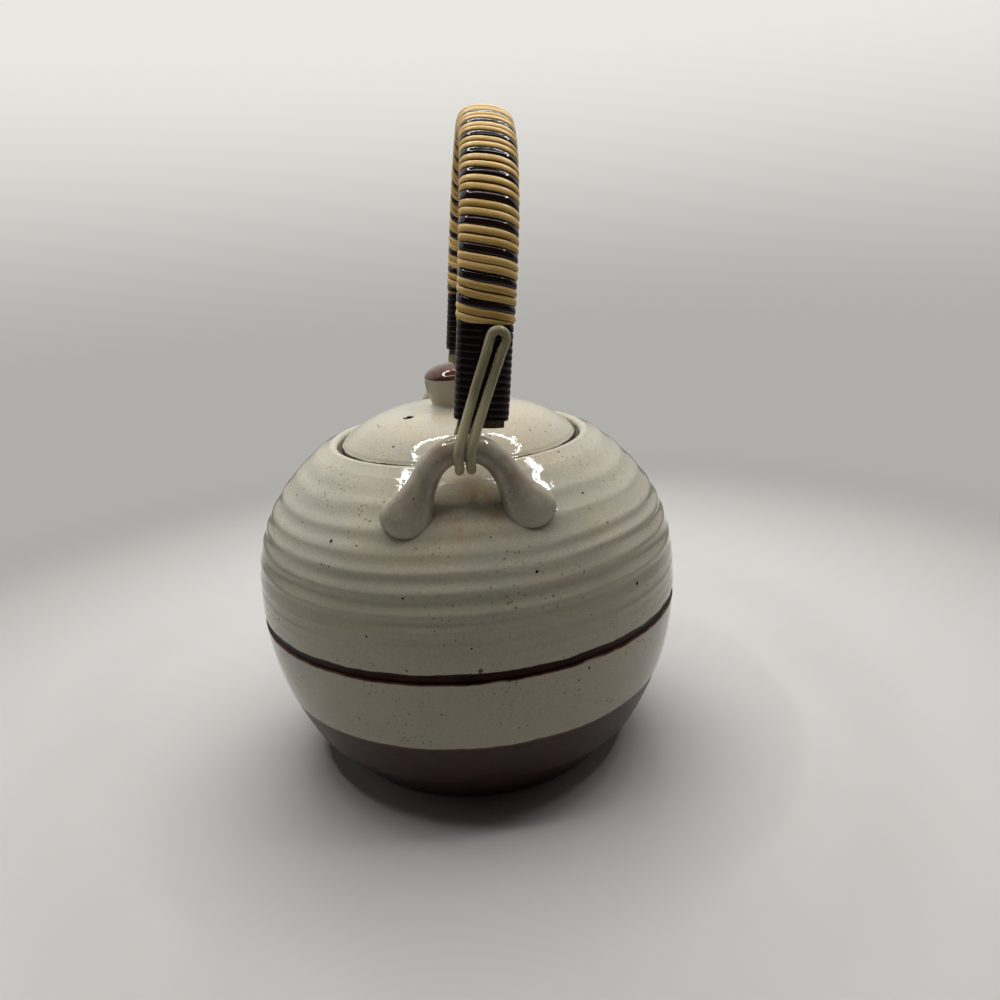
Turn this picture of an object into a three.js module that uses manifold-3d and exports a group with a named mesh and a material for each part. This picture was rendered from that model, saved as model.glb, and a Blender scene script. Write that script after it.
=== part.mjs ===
// Stoneware teapot with a cane-wrapped bail handle. Millimetres, +Z up.
// The origin is the centre of the flat foot. The spout points along +Y, and the
// handle arches over the lid in the YZ plane, hooked through a clay lug at each end.
import * as THREE from "three";
import { mergeVertices } from "three/addons/utils/BufferGeometryUtils.js";
import Module from "manifold-3d";

const wasm = await Module();
wasm.setup();

// Gap left between pieces that touch.
const SEAT_GAP = 0.3;

// Pot wall, thrown and turned.
const POT_RADIUS = 72.5;
const WIDEST_HEIGHT = 60.4;
const RIM_HEIGHT = 112.5;
const RIM_LAND = 4;
const RIM_BEVEL = 0.8;
const SHOULDER_POWER = 2.7;
const TRIM_HEIGHT = 15;
const TRIM_RADIUS = 60.8;
const LOWER_POWER = 2.1;
const FOOT_RADIUS = 48;
const FOOT_BEVEL = 1.2;
const POT_WALL = 5;
const POT_FLOOR = 7;
// The hollow's lower corner is this much wider than the foot.
const CORNER_SPREAD = 1.25;
const POT_SIDES = 32;

// Throwing rings on the shoulder, deeper towards the rim, and the turned groove below them.
const RING_COUNT = 9;
// Each ring is a ridge and two points of the hollow above it.
const POINTS_PER_RING = 3;
const LOWEST_RING_DEPTH = 0.3;
const HIGHEST_RING_DEPTH = 0.9;
const RING_TOP_MARGIN = 7;
const GROOVE_BELOW_WIDEST = 4.8;
const GROOVE_WIDTH = 3.2;
const GROOVE_DEPTH = 0.9;
// Height over which each edge of the groove slopes.
const GROOVE_SLOPE = 0.45;

// Mouth and the gallery that the lid sits in.
const MOUTH_RADIUS = 41;
const GALLERY_DEPTH = 5.5;
const LEDGE_WIDTH = 5;
const THROAT_LENGTH = 3;

// Lid.
const LID_EDGE_CLEARANCE = 1.2;
const LID_EDGE_THICKNESS = 4.4;
const LID_EDGE_ROUND = 1.1;
const LID_RISE = 10.3;
const DOME_POWER = 4;
// Below 1, it crowds the dome's points towards its steep edge.
const DOME_CROWDING = 0.6;
const LID_WALL = 4.5;
const FLANGE_CLEARANCE = 1.2;
const FLANGE_WALL = 4;
const FLANGE_DEPTH = 9;
const STEAM_HOLE_DIAMETER = 3.4;
const STEAM_HOLE_RADIUS = 19.6;
const STEAM_HOLE_BEARING = 215;
const LID_SIDES = 32;

// Knob of the lid.
const KNOB_RADIUS = 10.1;
const KNOB_NECK_RADIUS = 8.2;
const KNOB_HEIGHT = 14.3;
const KNOB_SHOULDER = 0.69;
const KNOB_SIDES = 24;

// Spout, and the strainer holes behind it.
const SPOUT_HEIGHT = 72;
const SPOUT_REACH = 28;
const SPOUT_TIP_HEIGHT = 106;
const SPOUT_ROOT_RADIUS = 18.5;
const SPOUT_TIP_RADIUS = 8.2;
const SPOUT_WALL = 3.4;
const SPOUT_ROOT_DEPTH = 12;
const SPOUT_ROOT_DROP = 4.1;
// The two bends of the spout's line, as shares of its reach and of its rise.
const SPOUT_LOW_BEND = [0.3, 0.12];
const SPOUT_HIGH_BEND = [0.62, 0.5];
const SPOUT_TAPER_POWER = 1.5;
const SPOUT_SIDES = 16;
const SPOUT_STEPS = 9;
const STRAINER_HOLE_DIAMETER = 4.4;
const STRAINER_HOLE_PITCH = 7.4;
const STRAINER_ROWS = [2, 3, 2];
const HOLE_SIDES = 8;
// A drill is this many walls long, so that it passes a slanting wall.
const DRILL_WALLS = 5;

// Lugs: an arch of pulled clay with two feet on the shoulder.
const LUG_DROP = 12;
const LUG_RISE = 20.2;
const LUG_ARCH_RADIUS = 12;
const LUG_ARCH_HALF_ANGLE = 60;
const LUG_ROD_RADIUS = 4;
const LUG_FOOT_SPREAD = 18;
const LUG_FOOT_WIDTH = 16;
const LUG_FOOT_DEPTH = 10.8;
const LUG_HEEL_LENGTH = 6;
const LUG_HEEL_TURN = 75;
const LUG_SWELL_POWER = 1.4;
const LUG_INSET = 1.2;
const FRONT_LUG_TURN = -3;
const LUG_SIDES = 12;

// Hooks: a hairpin of round cane that loops under each lug.
const CANE_DIAMETER = 2.8;
const CANE_SPACING = 4.2;
const CANE_SPACING_AT_LUG = 3.4;
const HOOK_CLEARANCE = 0.9;
const HOOK_TOP_HEIGHT = 30.4;
const HOOK_TUCK = 18;
const HOOK_TOP_OFFSET = 3.2;
const HOOK_EXIT_OFFSET = 3.5;
const HOOK_BOW = 1.4;
// Places on the hook's route, as shares of a stretch and as degrees round a bend.
const HOOK_TUCK_SHARES = [1, 0.5, 0];
const HOOK_CROWN_TURNS = [-90, -45, 0, 45, 90];
const HOOK_RISE_SHARES = [0.5, 0.85, 1];
const HOOK_TOP_TURNS = [-45, 0, 45];
const HOOK_STEPS = 44;
const HOOK_SIDES = 8;

// Handle core: two bent half-round slats with a filler slat between them. The exponent of
// its oval section is 2 for an ellipse and more for a squarer shape.
const CORE_WIDTH = 14.2;
const CORE_OVAL_POWER = 2.3;
const SLAT_THICKNESS = 2.1;
const HANDLE_INSET = 7.5;
const SPRING_HEIGHT = 42.4;
const BACK_LEG = 38;
const FRONT_LEG = 31;
const HANDLE_LEAN = 6.2;
const HANDLE_SHIFT = 5.1;
const CORE_STEPS = 30;

// Cane windings over the core.
const WRAP_GAP = 0.45;
const STRIP_THICKNESS = 1;
const STRIP_WIDTH = 1.8;
const PATTERN_LEG = 8;
const PATTERN_TURNS = 24;
const END_STRIP_THICKNESS = 0.6;
const END_STRIP_WIDTH = 1.5;
const END_PITCH = 2;
const TURN_STEPS = 12;
// Sections of the two kinds of strip, as shares of its thickness and of its width.
const FLAT_STRIP = [
  [0, -0.5],
  [1, -0.38],
  [1, 0.38],
  [0, 0.5],
];
const RIDGED_STRIP = [
  [0, -0.5],
  [1, 0],
  [0, 0.5],
];

// Straight steps that stand for each curve.
const BELLY_STEPS = 6;
const NECK_STEPS = 3;
const SHOULDER_STEPS = 24;
const INNER_SHOULDER_STEPS = 5;
const INNER_BELLY_STEPS = 3;
const LUG_ARCH_STEPS = 5;
const LUG_STRAP_STEPS = 5;
const LUG_HEEL_STEPS = 3;
const LID_UNDERSIDE_STEPS = 5;
const LID_DOME_STEPS = 8;
const KNOB_FOOT_STEPS = 2;
const KNOB_SIDE_STEPS = 5;
const KNOB_CAP_STEPS = 5;
const WELD_DISTANCE = 1e-4;

// Colours, with roughness. None of the pieces is metal.
const CREAM_GLAZE = { color: 0xc9c4b2, roughness: 0.35 };
const NATURAL_CANE = { color: 0xd2b271, roughness: 0.4 };
const DARK_CANE = { color: 0x2a1b1c, roughness: 0.35 };
const HOOK_CANE = { color: 0xb9b5a0, roughness: 0.45 };
const CORE_CANE = { color: 0x9c7f52, roughness: 0.7 };

const Z_AXIS = new THREE.Vector3(0, 0, 1);
const point = (x, y, z) => new THREE.Vector3(x, y, z);
const radians = THREE.MathUtils.degToRad;
const lerp = THREE.MathUtils.lerp;

// Numbers from 0 to 1 in equal steps, both ends included.
function shares(steps) {
  return Array.from({ length: steps + 1 }, (_, i) => i / steps);
}

// A three.js geometry as a manifold-3d solid.
function solidOf(geometry) {
  const bare = new THREE.BufferGeometry();
  bare.setAttribute("position", geometry.getAttribute("position"));
  bare.setIndex(geometry.index);
  const merged = mergeVertices(bare, WELD_DISTANCE);
  const corners = Array.from(merged.index.array);
  const kept = [];
  for (let i = 0; i < corners.length; i += 3) {
    const [a, b, c] = corners.slice(i, i + 3);
    if (a !== b && b !== c && c !== a) kept.push(a, b, c);
  }
  return new wasm.Manifold(
    new wasm.Mesh({
      numProp: 3,
      vertProperties: merged.attributes.position.array,
      triVerts: new Uint32Array(kept),
    }),
  );
}

// A manifold-3d solid as a three.js geometry.
function geometryOf(solid) {
  const mesh = solid.getMesh();
  const geometry = new THREE.BufferGeometry();
  const positions = new Float32Array(mesh.vertProperties);
  geometry.setAttribute("position", new THREE.BufferAttribute(positions, 3));
  geometry.setIndex(new THREE.BufferAttribute(new Uint32Array(mesh.triVerts), 1));
  geometry.computeVertexNormals();
  return geometry;
}

// Turns an outline of [radius, height] points about the Z axis.
// The outline runs from the bottom of the axis round the outside to its top.
function turned(outline, sides) {
  const profile = outline.map(([radius, height]) => new THREE.Vector2(radius, height));
  return new THREE.LatheGeometry(profile, sides).rotateX(Math.PI / 2);
}

// A closed skin over rings of points that run along a path, with flat ends.
// Each ring turns right-handed about the direction of travel.
function loft(rings) {
  const around = rings[0].length;
  const positions = rings.flat().flatMap((p) => [p.x, p.y, p.z]);
  const corners = [];
  for (let i = 0; i + 1 < rings.length; i++) {
    for (let j = 0; j < around; j++) {
      const next = (j + 1) % around;
      const a = i * around + j;
      const b = i * around + next;
      corners.push(a, b, b + around, a, b + around, a + around);
    }
  }
  const last = (rings.length - 1) * around;
  for (let j = 1; j + 1 < around; j++) {
    corners.push(0, j + 1, j, last, last + j, last + j + 1);
  }
  const geometry = new THREE.BufferGeometry();
  geometry.setAttribute("position", new THREE.Float32BufferAttribute(positions, 3));
  geometry.setIndex(corners);
  geometry.computeVertexNormals();
  return geometry;
}

// A ring of points about a centre, square to the direction of travel.
function ringAt(centre, along, side, radiusSide, radiusUp, count) {
  const up = along.clone().cross(side);
  return shares(count)
    .slice(0, count)
    .map((share) => {
      const turn = 2 * Math.PI * share;
      return centre
        .clone()
        .addScaledVector(side, radiusSide * Math.cos(turn))
        .addScaledVector(up, radiusUp * Math.sin(turn));
    });
}

// Pot outline
const rimOuterRadius = MOUTH_RADIUS + RIM_LAND;
const ledgeHeight = RIM_HEIGHT - GALLERY_DEPTH;
const throatRadius = MOUTH_RADIUS - LEDGE_WIDTH;

// Radius of the plain shoulder or belly at a height, with no rings or groove.
function potRadiusAt(height) {
  if (height >= WIDEST_HEIGHT) {
    const share = (height - WIDEST_HEIGHT) / (RIM_HEIGHT - WIDEST_HEIGHT);
    return lerp(POT_RADIUS, rimOuterRadius, share ** SHOULDER_POWER);
  }
  const share = (WIDEST_HEIGHT - height) / (WIDEST_HEIGHT - TRIM_HEIGHT);
  return lerp(POT_RADIUS, TRIM_RADIUS, share ** LOWER_POWER);
}

// The shoulder's heights at equal steps along its curve, so the rings are even.
function evenShoulderHeights(from, to, steps) {
  const curve = new THREE.SplineCurve(
    shares(SHOULDER_STEPS).map((share) => {
      const height = lerp(from, to, share);
      return new THREE.Vector2(potRadiusAt(height), height);
    }),
  );
  return curve.getSpacedPoints(steps).map((p) => p.y);
}

// The outside of the pot, grown by some clearance, up to its rim.
function outerOutline(grown) {
  const grooveTop = WIDEST_HEIGHT - GROOVE_BELOW_WIDEST + GROOVE_WIDTH;
  const grooveBottom = WIDEST_HEIGHT - GROOVE_BELOW_WIDEST;
  const bevelRadius = lerp(FOOT_RADIUS, TRIM_RADIUS, FOOT_BEVEL / TRIM_HEIGHT);
  const outline = [
    [0, -grown],
    [FOOT_RADIUS - FOOT_BEVEL + grown, -grown],
    [bevelRadius + grown, FOOT_BEVEL],
    [TRIM_RADIUS + grown, TRIM_HEIGHT],
  ];
  for (const share of shares(BELLY_STEPS).slice(1)) {
    const height = lerp(TRIM_HEIGHT, grooveBottom, share);
    outline.push([potRadiusAt(height) + grown, height]);
  }
  outline.push([potRadiusAt(grooveBottom) - GROOVE_DEPTH + grown, grooveBottom + GROOVE_SLOPE]);
  outline.push([potRadiusAt(grooveTop) - GROOVE_DEPTH + grown, grooveTop - GROOVE_SLOPE]);
  const ringsTop = RIM_HEIGHT - RING_TOP_MARGIN;
  const heights = evenShoulderHeights(grooveTop, ringsTop, POINTS_PER_RING * RING_COUNT);
  heights.forEach((height, i) => {
    const isRidge = i % POINTS_PER_RING === 0;
    const depth = lerp(LOWEST_RING_DEPTH, HIGHEST_RING_DEPTH, i / heights.length);
    outline.push([potRadiusAt(height) - (isRidge ? 0 : depth) + grown, height]);
  });
  for (const share of shares(NECK_STEPS).slice(1)) {
    const height = lerp(ringsTop, RIM_HEIGHT, share);
    outline.push([potRadiusAt(height) + grown, height + grown * share]);
  }
  return outline;
}

// The inside of the pot, from the mouth down to the middle of the floor.
function innerOutline() {
  const throatBottom = ledgeHeight - THROAT_LENGTH;
  const innerRadius = POT_RADIUS - POT_WALL;
  const cornerHeight = POT_FLOOR + POT_WALL;
  const cornerRadius = FOOT_RADIUS + CORNER_SPREAD;
  const outline = [
    [MOUTH_RADIUS + RIM_BEVEL, RIM_HEIGHT],
    [MOUTH_RADIUS, RIM_HEIGHT - RIM_BEVEL],
    [MOUTH_RADIUS, ledgeHeight],
    [throatRadius, ledgeHeight],
    [throatRadius, throatBottom],
  ];
  for (const share of shares(INNER_SHOULDER_STEPS).slice(1)) {
    const height = lerp(throatBottom, WIDEST_HEIGHT, share);
    outline.push([lerp(innerRadius, throatRadius, (1 - share) ** SHOULDER_POWER), height]);
  }
  for (const share of shares(INNER_BELLY_STEPS).slice(1)) {
    const height = lerp(WIDEST_HEIGHT, cornerHeight, share);
    outline.push([lerp(innerRadius, cornerRadius, share ** LOWER_POWER), height]);
  }
  outline.push([cornerRadius - POT_WALL, POT_FLOOR]);
  outline.push([0, POT_FLOOR]);
  return outline;
}

// The pot's outside as a filled solid. Pieces luted onto it are cut with this.
function potCutter() {
  return solidOf(turned([...outerOutline(SEAT_GAP), [0, RIM_HEIGHT + SEAT_GAP]], POT_SIDES));
}

// Spout path: it leaves the wall outwards and curves up to the tip.
function spoutCurve() {
  const wall = potRadiusAt(SPOUT_HEIGHT);
  const rise = SPOUT_TIP_HEIGHT - SPOUT_HEIGHT;
  const bend = ([outShare, upShare]) =>
    point(0, wall + SPOUT_REACH * outShare, SPOUT_HEIGHT + rise * upShare);
  return new THREE.CubicBezierCurve3(
    point(0, wall - SPOUT_ROOT_DEPTH, SPOUT_HEIGHT - SPOUT_ROOT_DROP),
    bend(SPOUT_LOW_BEND),
    bend(SPOUT_HIGH_BEND),
    bend([1, 1]),
  );
}

// The spout's outside or its bore as a solid. overrun pushes both ends out along the path.
function spoutSolid(thinner, overrun) {
  const curve = spoutCurve();
  const rings = shares(SPOUT_STEPS).map((share) => {
    const along = curve.getTangent(share);
    const push = share === 0 ? -overrun : share === 1 ? overrun : 0;
    const taper = (1 - share) ** SPOUT_TAPER_POWER;
    const radius = lerp(SPOUT_TIP_RADIUS, SPOUT_ROOT_RADIUS, taper) - thinner;
    const centre = curve.getPoint(share).addScaledVector(along, push);
    return ringAt(centre, along, point(1, 0, 0), radius, radius, SPOUT_SIDES);
  });
  return solidOf(loft(rings));
}

// Strainer holes, drilled through the pot wall in the direction in which the spout starts.
function strainerDrills() {
  const along = spoutCurve().getTangent(0);
  const up = point(1, 0, 0).cross(along);
  const centre = point(0, potRadiusAt(SPOUT_HEIGHT) - POT_WALL / 2, SPOUT_HEIGHT);
  const drills = [];
  const rowPitch = STRAINER_HOLE_PITCH * Math.sin(Math.PI / 3);
  STRAINER_ROWS.forEach((holes, rowNumber) => {
    const row = rowNumber - (STRAINER_ROWS.length - 1) / 2;
    for (let i = 0; i < holes; i++) {
      const across = (i - (holes - 1) / 2) * STRAINER_HOLE_PITCH;
      const drill = new THREE.CylinderGeometry(
        STRAINER_HOLE_DIAMETER / 2,
        STRAINER_HOLE_DIAMETER / 2,
        DRILL_WALLS * POT_WALL,
        HOLE_SIDES,
      );
      drill.applyQuaternion(new THREE.Quaternion().setFromUnitVectors(point(0, 1, 0), along));
      const place = centre.clone().addScaledVector(up, row * rowPitch).setX(across);
      drill.translate(place.x, place.y, place.z);
      drills.push(solidOf(drill));
    }
  });
  return drills;
}

function pot() {
  let solid = solidOf(turned([...outerOutline(0), ...innerOutline()], POT_SIDES));
  for (const drill of strainerDrills()) solid = solid.subtract(drill);
  return geometryOf(solid);
}

function spout() {
  const hollow = spoutSolid(0, 0).subtract(spoutSolid(SPOUT_WALL, POT_WALL));
  return geometryOf(hollow.subtract(potCutter()));
}

// Lugs
const lugFootHeight = RIM_HEIGHT - LUG_DROP;
const crownHeight = lugFootHeight + LUG_RISE;
const lugFootDistance = potRadiusAt(lugFootHeight) - LUG_INSET;
const lugDistance = Math.sqrt(lugFootDistance ** 2 - LUG_FOOT_SPREAD ** 2);
const swingHeight = crownHeight - LUG_ARCH_RADIUS;

// The front lug stands a little off the line through the spout and the back lug.
function lugTurn(outwards) {
  return outwards > 0 ? radians(FRONT_LUG_TURN) : 0;
}

// Half of a lug's centreline, from the crown to one foot, with the rod's half width and
// half depth at each point. The foot ends in a rounded heel.
function lugHalf(sideways, outwards) {
  const turnEnd = radians(LUG_ARCH_HALF_ANGLE);
  const stations = shares(LUG_ARCH_STEPS).map((share) => {
    const turn = turnEnd * share;
    const centre = point(
      sideways * LUG_ARCH_RADIUS * Math.sin(turn),
      outwards * lugDistance,
      swingHeight + LUG_ARCH_RADIUS * Math.cos(turn),
    );
    return { centre, width: LUG_ROD_RADIUS, depth: LUG_ROD_RADIUS };
  });
  const archEnd = stations[stations.length - 1].centre;
  const foot = point(sideways * LUG_FOOT_SPREAD, outwards * lugDistance, lugFootHeight);
  const heel = foot.clone().sub(archEnd).normalize();
  for (const share of shares(LUG_STRAP_STEPS).slice(1)) {
    const swell = share ** LUG_SWELL_POWER;
    stations.push({
      centre: archEnd.clone().lerp(foot, share),
      width: lerp(LUG_ROD_RADIUS, LUG_FOOT_WIDTH / 2, swell),
      depth: lerp(LUG_ROD_RADIUS, LUG_FOOT_DEPTH / 2, swell),
    });
  }
  for (const share of shares(LUG_HEEL_STEPS).slice(1)) {
    const turn = radians(LUG_HEEL_TURN) * share;
    stations.push({
      centre: foot.clone().addScaledVector(heel, LUG_HEEL_LENGTH * Math.sin(turn)),
      width: (LUG_FOOT_WIDTH / 2) * Math.cos(turn),
      depth: (LUG_FOOT_DEPTH / 2) * Math.cos(turn),
    });
  }
  return stations;
}

function lug(outwards) {
  const left = lugHalf(-1, outwards).reverse();
  const stations = [...left, ...lugHalf(1, outwards).slice(1)];
  const across = point(0, outwards, 0);
  const rings = stations.map(({ centre, width, depth }, i) => {
    const before = stations[Math.max(i - 1, 0)].centre;
    const after = stations[Math.min(i + 1, stations.length - 1)].centre;
    const along = after.clone().sub(before).normalize();
    const side = across.clone().addScaledVector(along, -across.dot(along)).normalize();
    return ringAt(centre, along, side, depth, width, LUG_SIDES);
  });
  const arch = loft(rings).rotateZ(lugTurn(outwards));
  return geometryOf(solidOf(arch).subtract(potCutter()));
}

// Lid
const lidSeatHeight = ledgeHeight + SEAT_GAP;
const lidEdgeRadius = MOUTH_RADIUS - LID_EDGE_CLEARANCE;
const lidEdgeTop = lidSeatHeight + LID_EDGE_THICKNESS;

// Height of the lid's dome at a radius from the axis: flat in the middle, steep at the edge.
function domeHeightAt(radius) {
  return lidEdgeTop + LID_RISE * (1 - (radius / lidEdgeRadius) ** DOME_POWER);
}

function lid() {
  const flangeOuter = throatRadius - FLANGE_CLEARANCE;
  const flangeInner = flangeOuter - FLANGE_WALL;
  const flangeBottom = lidSeatHeight - FLANGE_DEPTH;
  const underside = shares(LID_UNDERSIDE_STEPS).map((share) => {
    const radius = flangeInner * share;
    return [radius, domeHeightAt(radius) - LID_WALL];
  });
  const outline = [
    ...underside,
    [flangeInner, flangeBottom],
    [flangeOuter, flangeBottom],
    [flangeOuter, lidSeatHeight],
    [lidEdgeRadius - LID_EDGE_ROUND, lidSeatHeight],
    [lidEdgeRadius, lidSeatHeight + LID_EDGE_ROUND],
    [lidEdgeRadius, lidEdgeTop - LID_EDGE_ROUND],
  ];
  for (const share of shares(LID_DOME_STEPS)) {
    const radius = (lidEdgeRadius - LID_EDGE_ROUND) * (1 - share) ** DOME_CROWDING;
    outline.push([radius, domeHeightAt(radius)]);
  }
  const bearing = radians(STEAM_HOLE_BEARING);
  const hole = new THREE.CylinderGeometry(
    STEAM_HOLE_DIAMETER / 2,
    STEAM_HOLE_DIAMETER / 2,
    DRILL_WALLS * LID_WALL,
    HOLE_SIDES,
  );
  hole.rotateX(Math.PI / 2);
  hole.translate(
    STEAM_HOLE_RADIUS * Math.cos(bearing),
    STEAM_HOLE_RADIUS * Math.sin(bearing),
    domeHeightAt(STEAM_HOLE_RADIUS),
  );
  return geometryOf(solidOf(turned(outline, LID_SIDES)).subtract(solidOf(hole)));
}

// Knob: a neck that swells to a round shoulder with a low domed top.
function knob() {
  const bottom = domeHeightAt(0) + SEAT_GAP;
  const shoulderHeight = bottom + KNOB_HEIGHT * KNOB_SHOULDER;
  const outline = shares(KNOB_FOOT_STEPS).map((share) => {
    const radius = KNOB_NECK_RADIUS * share;
    return [radius, domeHeightAt(radius) + SEAT_GAP];
  });
  for (const share of shares(KNOB_SIDE_STEPS).slice(1)) {
    const swell = Math.sin((share * Math.PI) / 2);
    const height = lerp(bottom, shoulderHeight, share);
    outline.push([lerp(KNOB_NECK_RADIUS, KNOB_RADIUS, swell), height]);
  }
  for (const share of shares(KNOB_CAP_STEPS).slice(1)) {
    const turn = (share * Math.PI) / 2;
    const height = lerp(shoulderHeight, bottom + KNOB_HEIGHT, Math.sin(turn));
    outline.push([KNOB_RADIUS * Math.cos(turn), height]);
  }
  outline[outline.length - 1][0] = 0;
  return turned(outline, KNOB_SIDES);
}

// Handle frame: its own origin is level with the lug crowns, and the whole handle
// leans and sits a little to one side, as its slack hooks let it.
const caneRadius = CANE_DIAMETER / 2;
const hookBendRadius = LUG_ROD_RADIUS + HOOK_CLEARANCE + caneRadius;
const archRadius = lugDistance - HANDLE_INSET;
const backLegBottom = SPRING_HEIGHT - BACK_LEG;
const frontLegBottom = SPRING_HEIGHT - FRONT_LEG;
const coreHalfWidth = CORE_WIDTH / 2;
const fillerHalf = caneRadius;
const slatInnerFace = fillerHalf + SEAT_GAP;
const coreHalfThickness = slatInnerFace + SLAT_THICKNESS;
const archLength = BACK_LEG + Math.PI * archRadius + FRONT_LEG;

const handle = new THREE.Group();
handle.position.set(HANDLE_SHIFT, 0, crownHeight);
handle.rotation.y = radians(HANDLE_LEAN);
handle.updateMatrixWorld(true);

// A place on the handle's centreline, at a distance along it from the back leg's end.
// along runs with the handle and outwards points away from the lid.
function archAt(distance) {
  if (distance <= BACK_LEG) {
    return {
      centre: point(0, -archRadius, backLegBottom + distance),
      along: point(0, 0, 1),
      outwards: point(0, -1, 0),
    };
  }
  if (distance >= archLength - FRONT_LEG) {
    return {
      centre: point(0, archRadius, frontLegBottom + archLength - distance),
      along: point(0, 0, -1),
      outwards: point(0, 1, 0),
    };
  }
  const turn = (distance - BACK_LEG) / archRadius;
  const outwards = point(0, -Math.cos(turn), Math.sin(turn));
  const along = point(0, Math.sin(turn), Math.cos(turn));
  const centre = point(0, 0, SPRING_HEIGHT).addScaledVector(outwards, archRadius);
  return { centre, along, outwards };
}

// A section of [across, outwards] points carried along part of the handle.
function alongHandle(section, from, to, steps) {
  const rings = shares(steps).map((share) => {
    const { centre, outwards } = archAt(lerp(from, to, share));
    return section.map(([across, out]) =>
      centre.clone().add(point(across, 0, 0)).addScaledVector(outwards, out),
    );
  });
  return loft(rings);
}

// A place on an oval like the core's section, at an angle round it, with the direction
// that faces straight out of the oval there.
function ovalAt(halfWidth, halfThickness, turn) {
  const place = 2 / CORE_OVAL_POWER;
  const facing = 2 - place;
  const raised = (value, power) => Math.sign(value) * Math.abs(value) ** power;
  const [cos, sin] = [Math.cos(turn), Math.sin(turn)];
  return {
    across: halfWidth * raised(cos, place),
    out: halfThickness * raised(sin, place),
    normal: new THREE.Vector2(
      raised(cos, facing) / halfWidth,
      raised(sin, facing) / halfThickness,
    ).normalize(),
  };
}

// The angle round the core's oval where a slat's flat inner face meets its round outer one.
const slatCornerTurn = Math.asin((slatInnerFace / coreHalfThickness) ** (CORE_OVAL_POWER / 2));

// A half-round slat: a flat inner face and the core's oval outside. way is 1 for the outer
// slat and -1 for the inner one.
function slatSection(way) {
  const steps = TURN_STEPS / 2;
  const turns = shares(steps).map((share) => Math.PI * share);
  turns[0] = slatCornerTurn;
  turns[steps] = Math.PI - slatCornerTurn;
  const section = turns.map((turn) => {
    const { across, out } = ovalAt(coreHalfWidth, coreHalfThickness, turn);
    return [across, way * out];
  });
  return way > 0 ? section.reverse() : section;
}

function fillerSection() {
  const halfWidth = ovalAt(coreHalfWidth, coreHalfThickness, slatCornerTurn).across;
  return [
    [-halfWidth, -fillerHalf],
    [-halfWidth, fillerHalf],
    [halfWidth, fillerHalf],
    [halfWidth, -fillerHalf],
  ];
}

// Cane windings run round an oval that stands just off the core.
const windHalfThickness = coreHalfThickness + WRAP_GAP;

// Points round one turn, each with its outward direction.
function windingStations() {
  return shares(TURN_STEPS)
    .slice(0, TURN_STEPS)
    .map((share) => ovalAt(coreHalfWidth + WRAP_GAP, windHalfThickness, 2 * Math.PI * share));
}

// One strip of cane wound round the handle. It starts at a distance along the handle and
// some share of a turn round it. Its section is given as shares of thickness and width.
function winding({ from, pitch, turns, width, thickness, section, startTurn }) {
  const stations = windingStations();
  let perimeter = 0;
  const reached = stations.map((station, i) => {
    const before = stations[(i + stations.length - 1) % stations.length];
    if (i > 0) perimeter += Math.hypot(station.across - before.across, station.out - before.out);
    return perimeter;
  });
  const end = stations[stations.length - 1];
  perimeter += Math.hypot(stations[0].across - end.across, stations[0].out - end.out);
  const turnsAt = (i) =>
    Math.floor(i / stations.length) + reached[i % stations.length] / perimeter;
  const first = stations.findIndex((_, i) => turnsAt(i) >= startTurn);
  const rings = [];
  for (let i = first; i <= first + turns * stations.length; i++) {
    const station = stations[i % stations.length];
    const { centre, along, outwards } = archAt(from + pitch * (turnsAt(i) - startTurn));
    const normal = point(station.normal.x, 0, 0).addScaledVector(outwards, station.normal.y);
    const base = centre.add(point(station.across, 0, 0)).addScaledVector(outwards, station.out);
    rings.push(
      section.map(([high, wide]) =>
        base
          .clone()
          .addScaledVector(normal, high * thickness)
          .addScaledVector(along, wide * width),
      ),
    );
  }
  return loft(rings);
}

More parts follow.
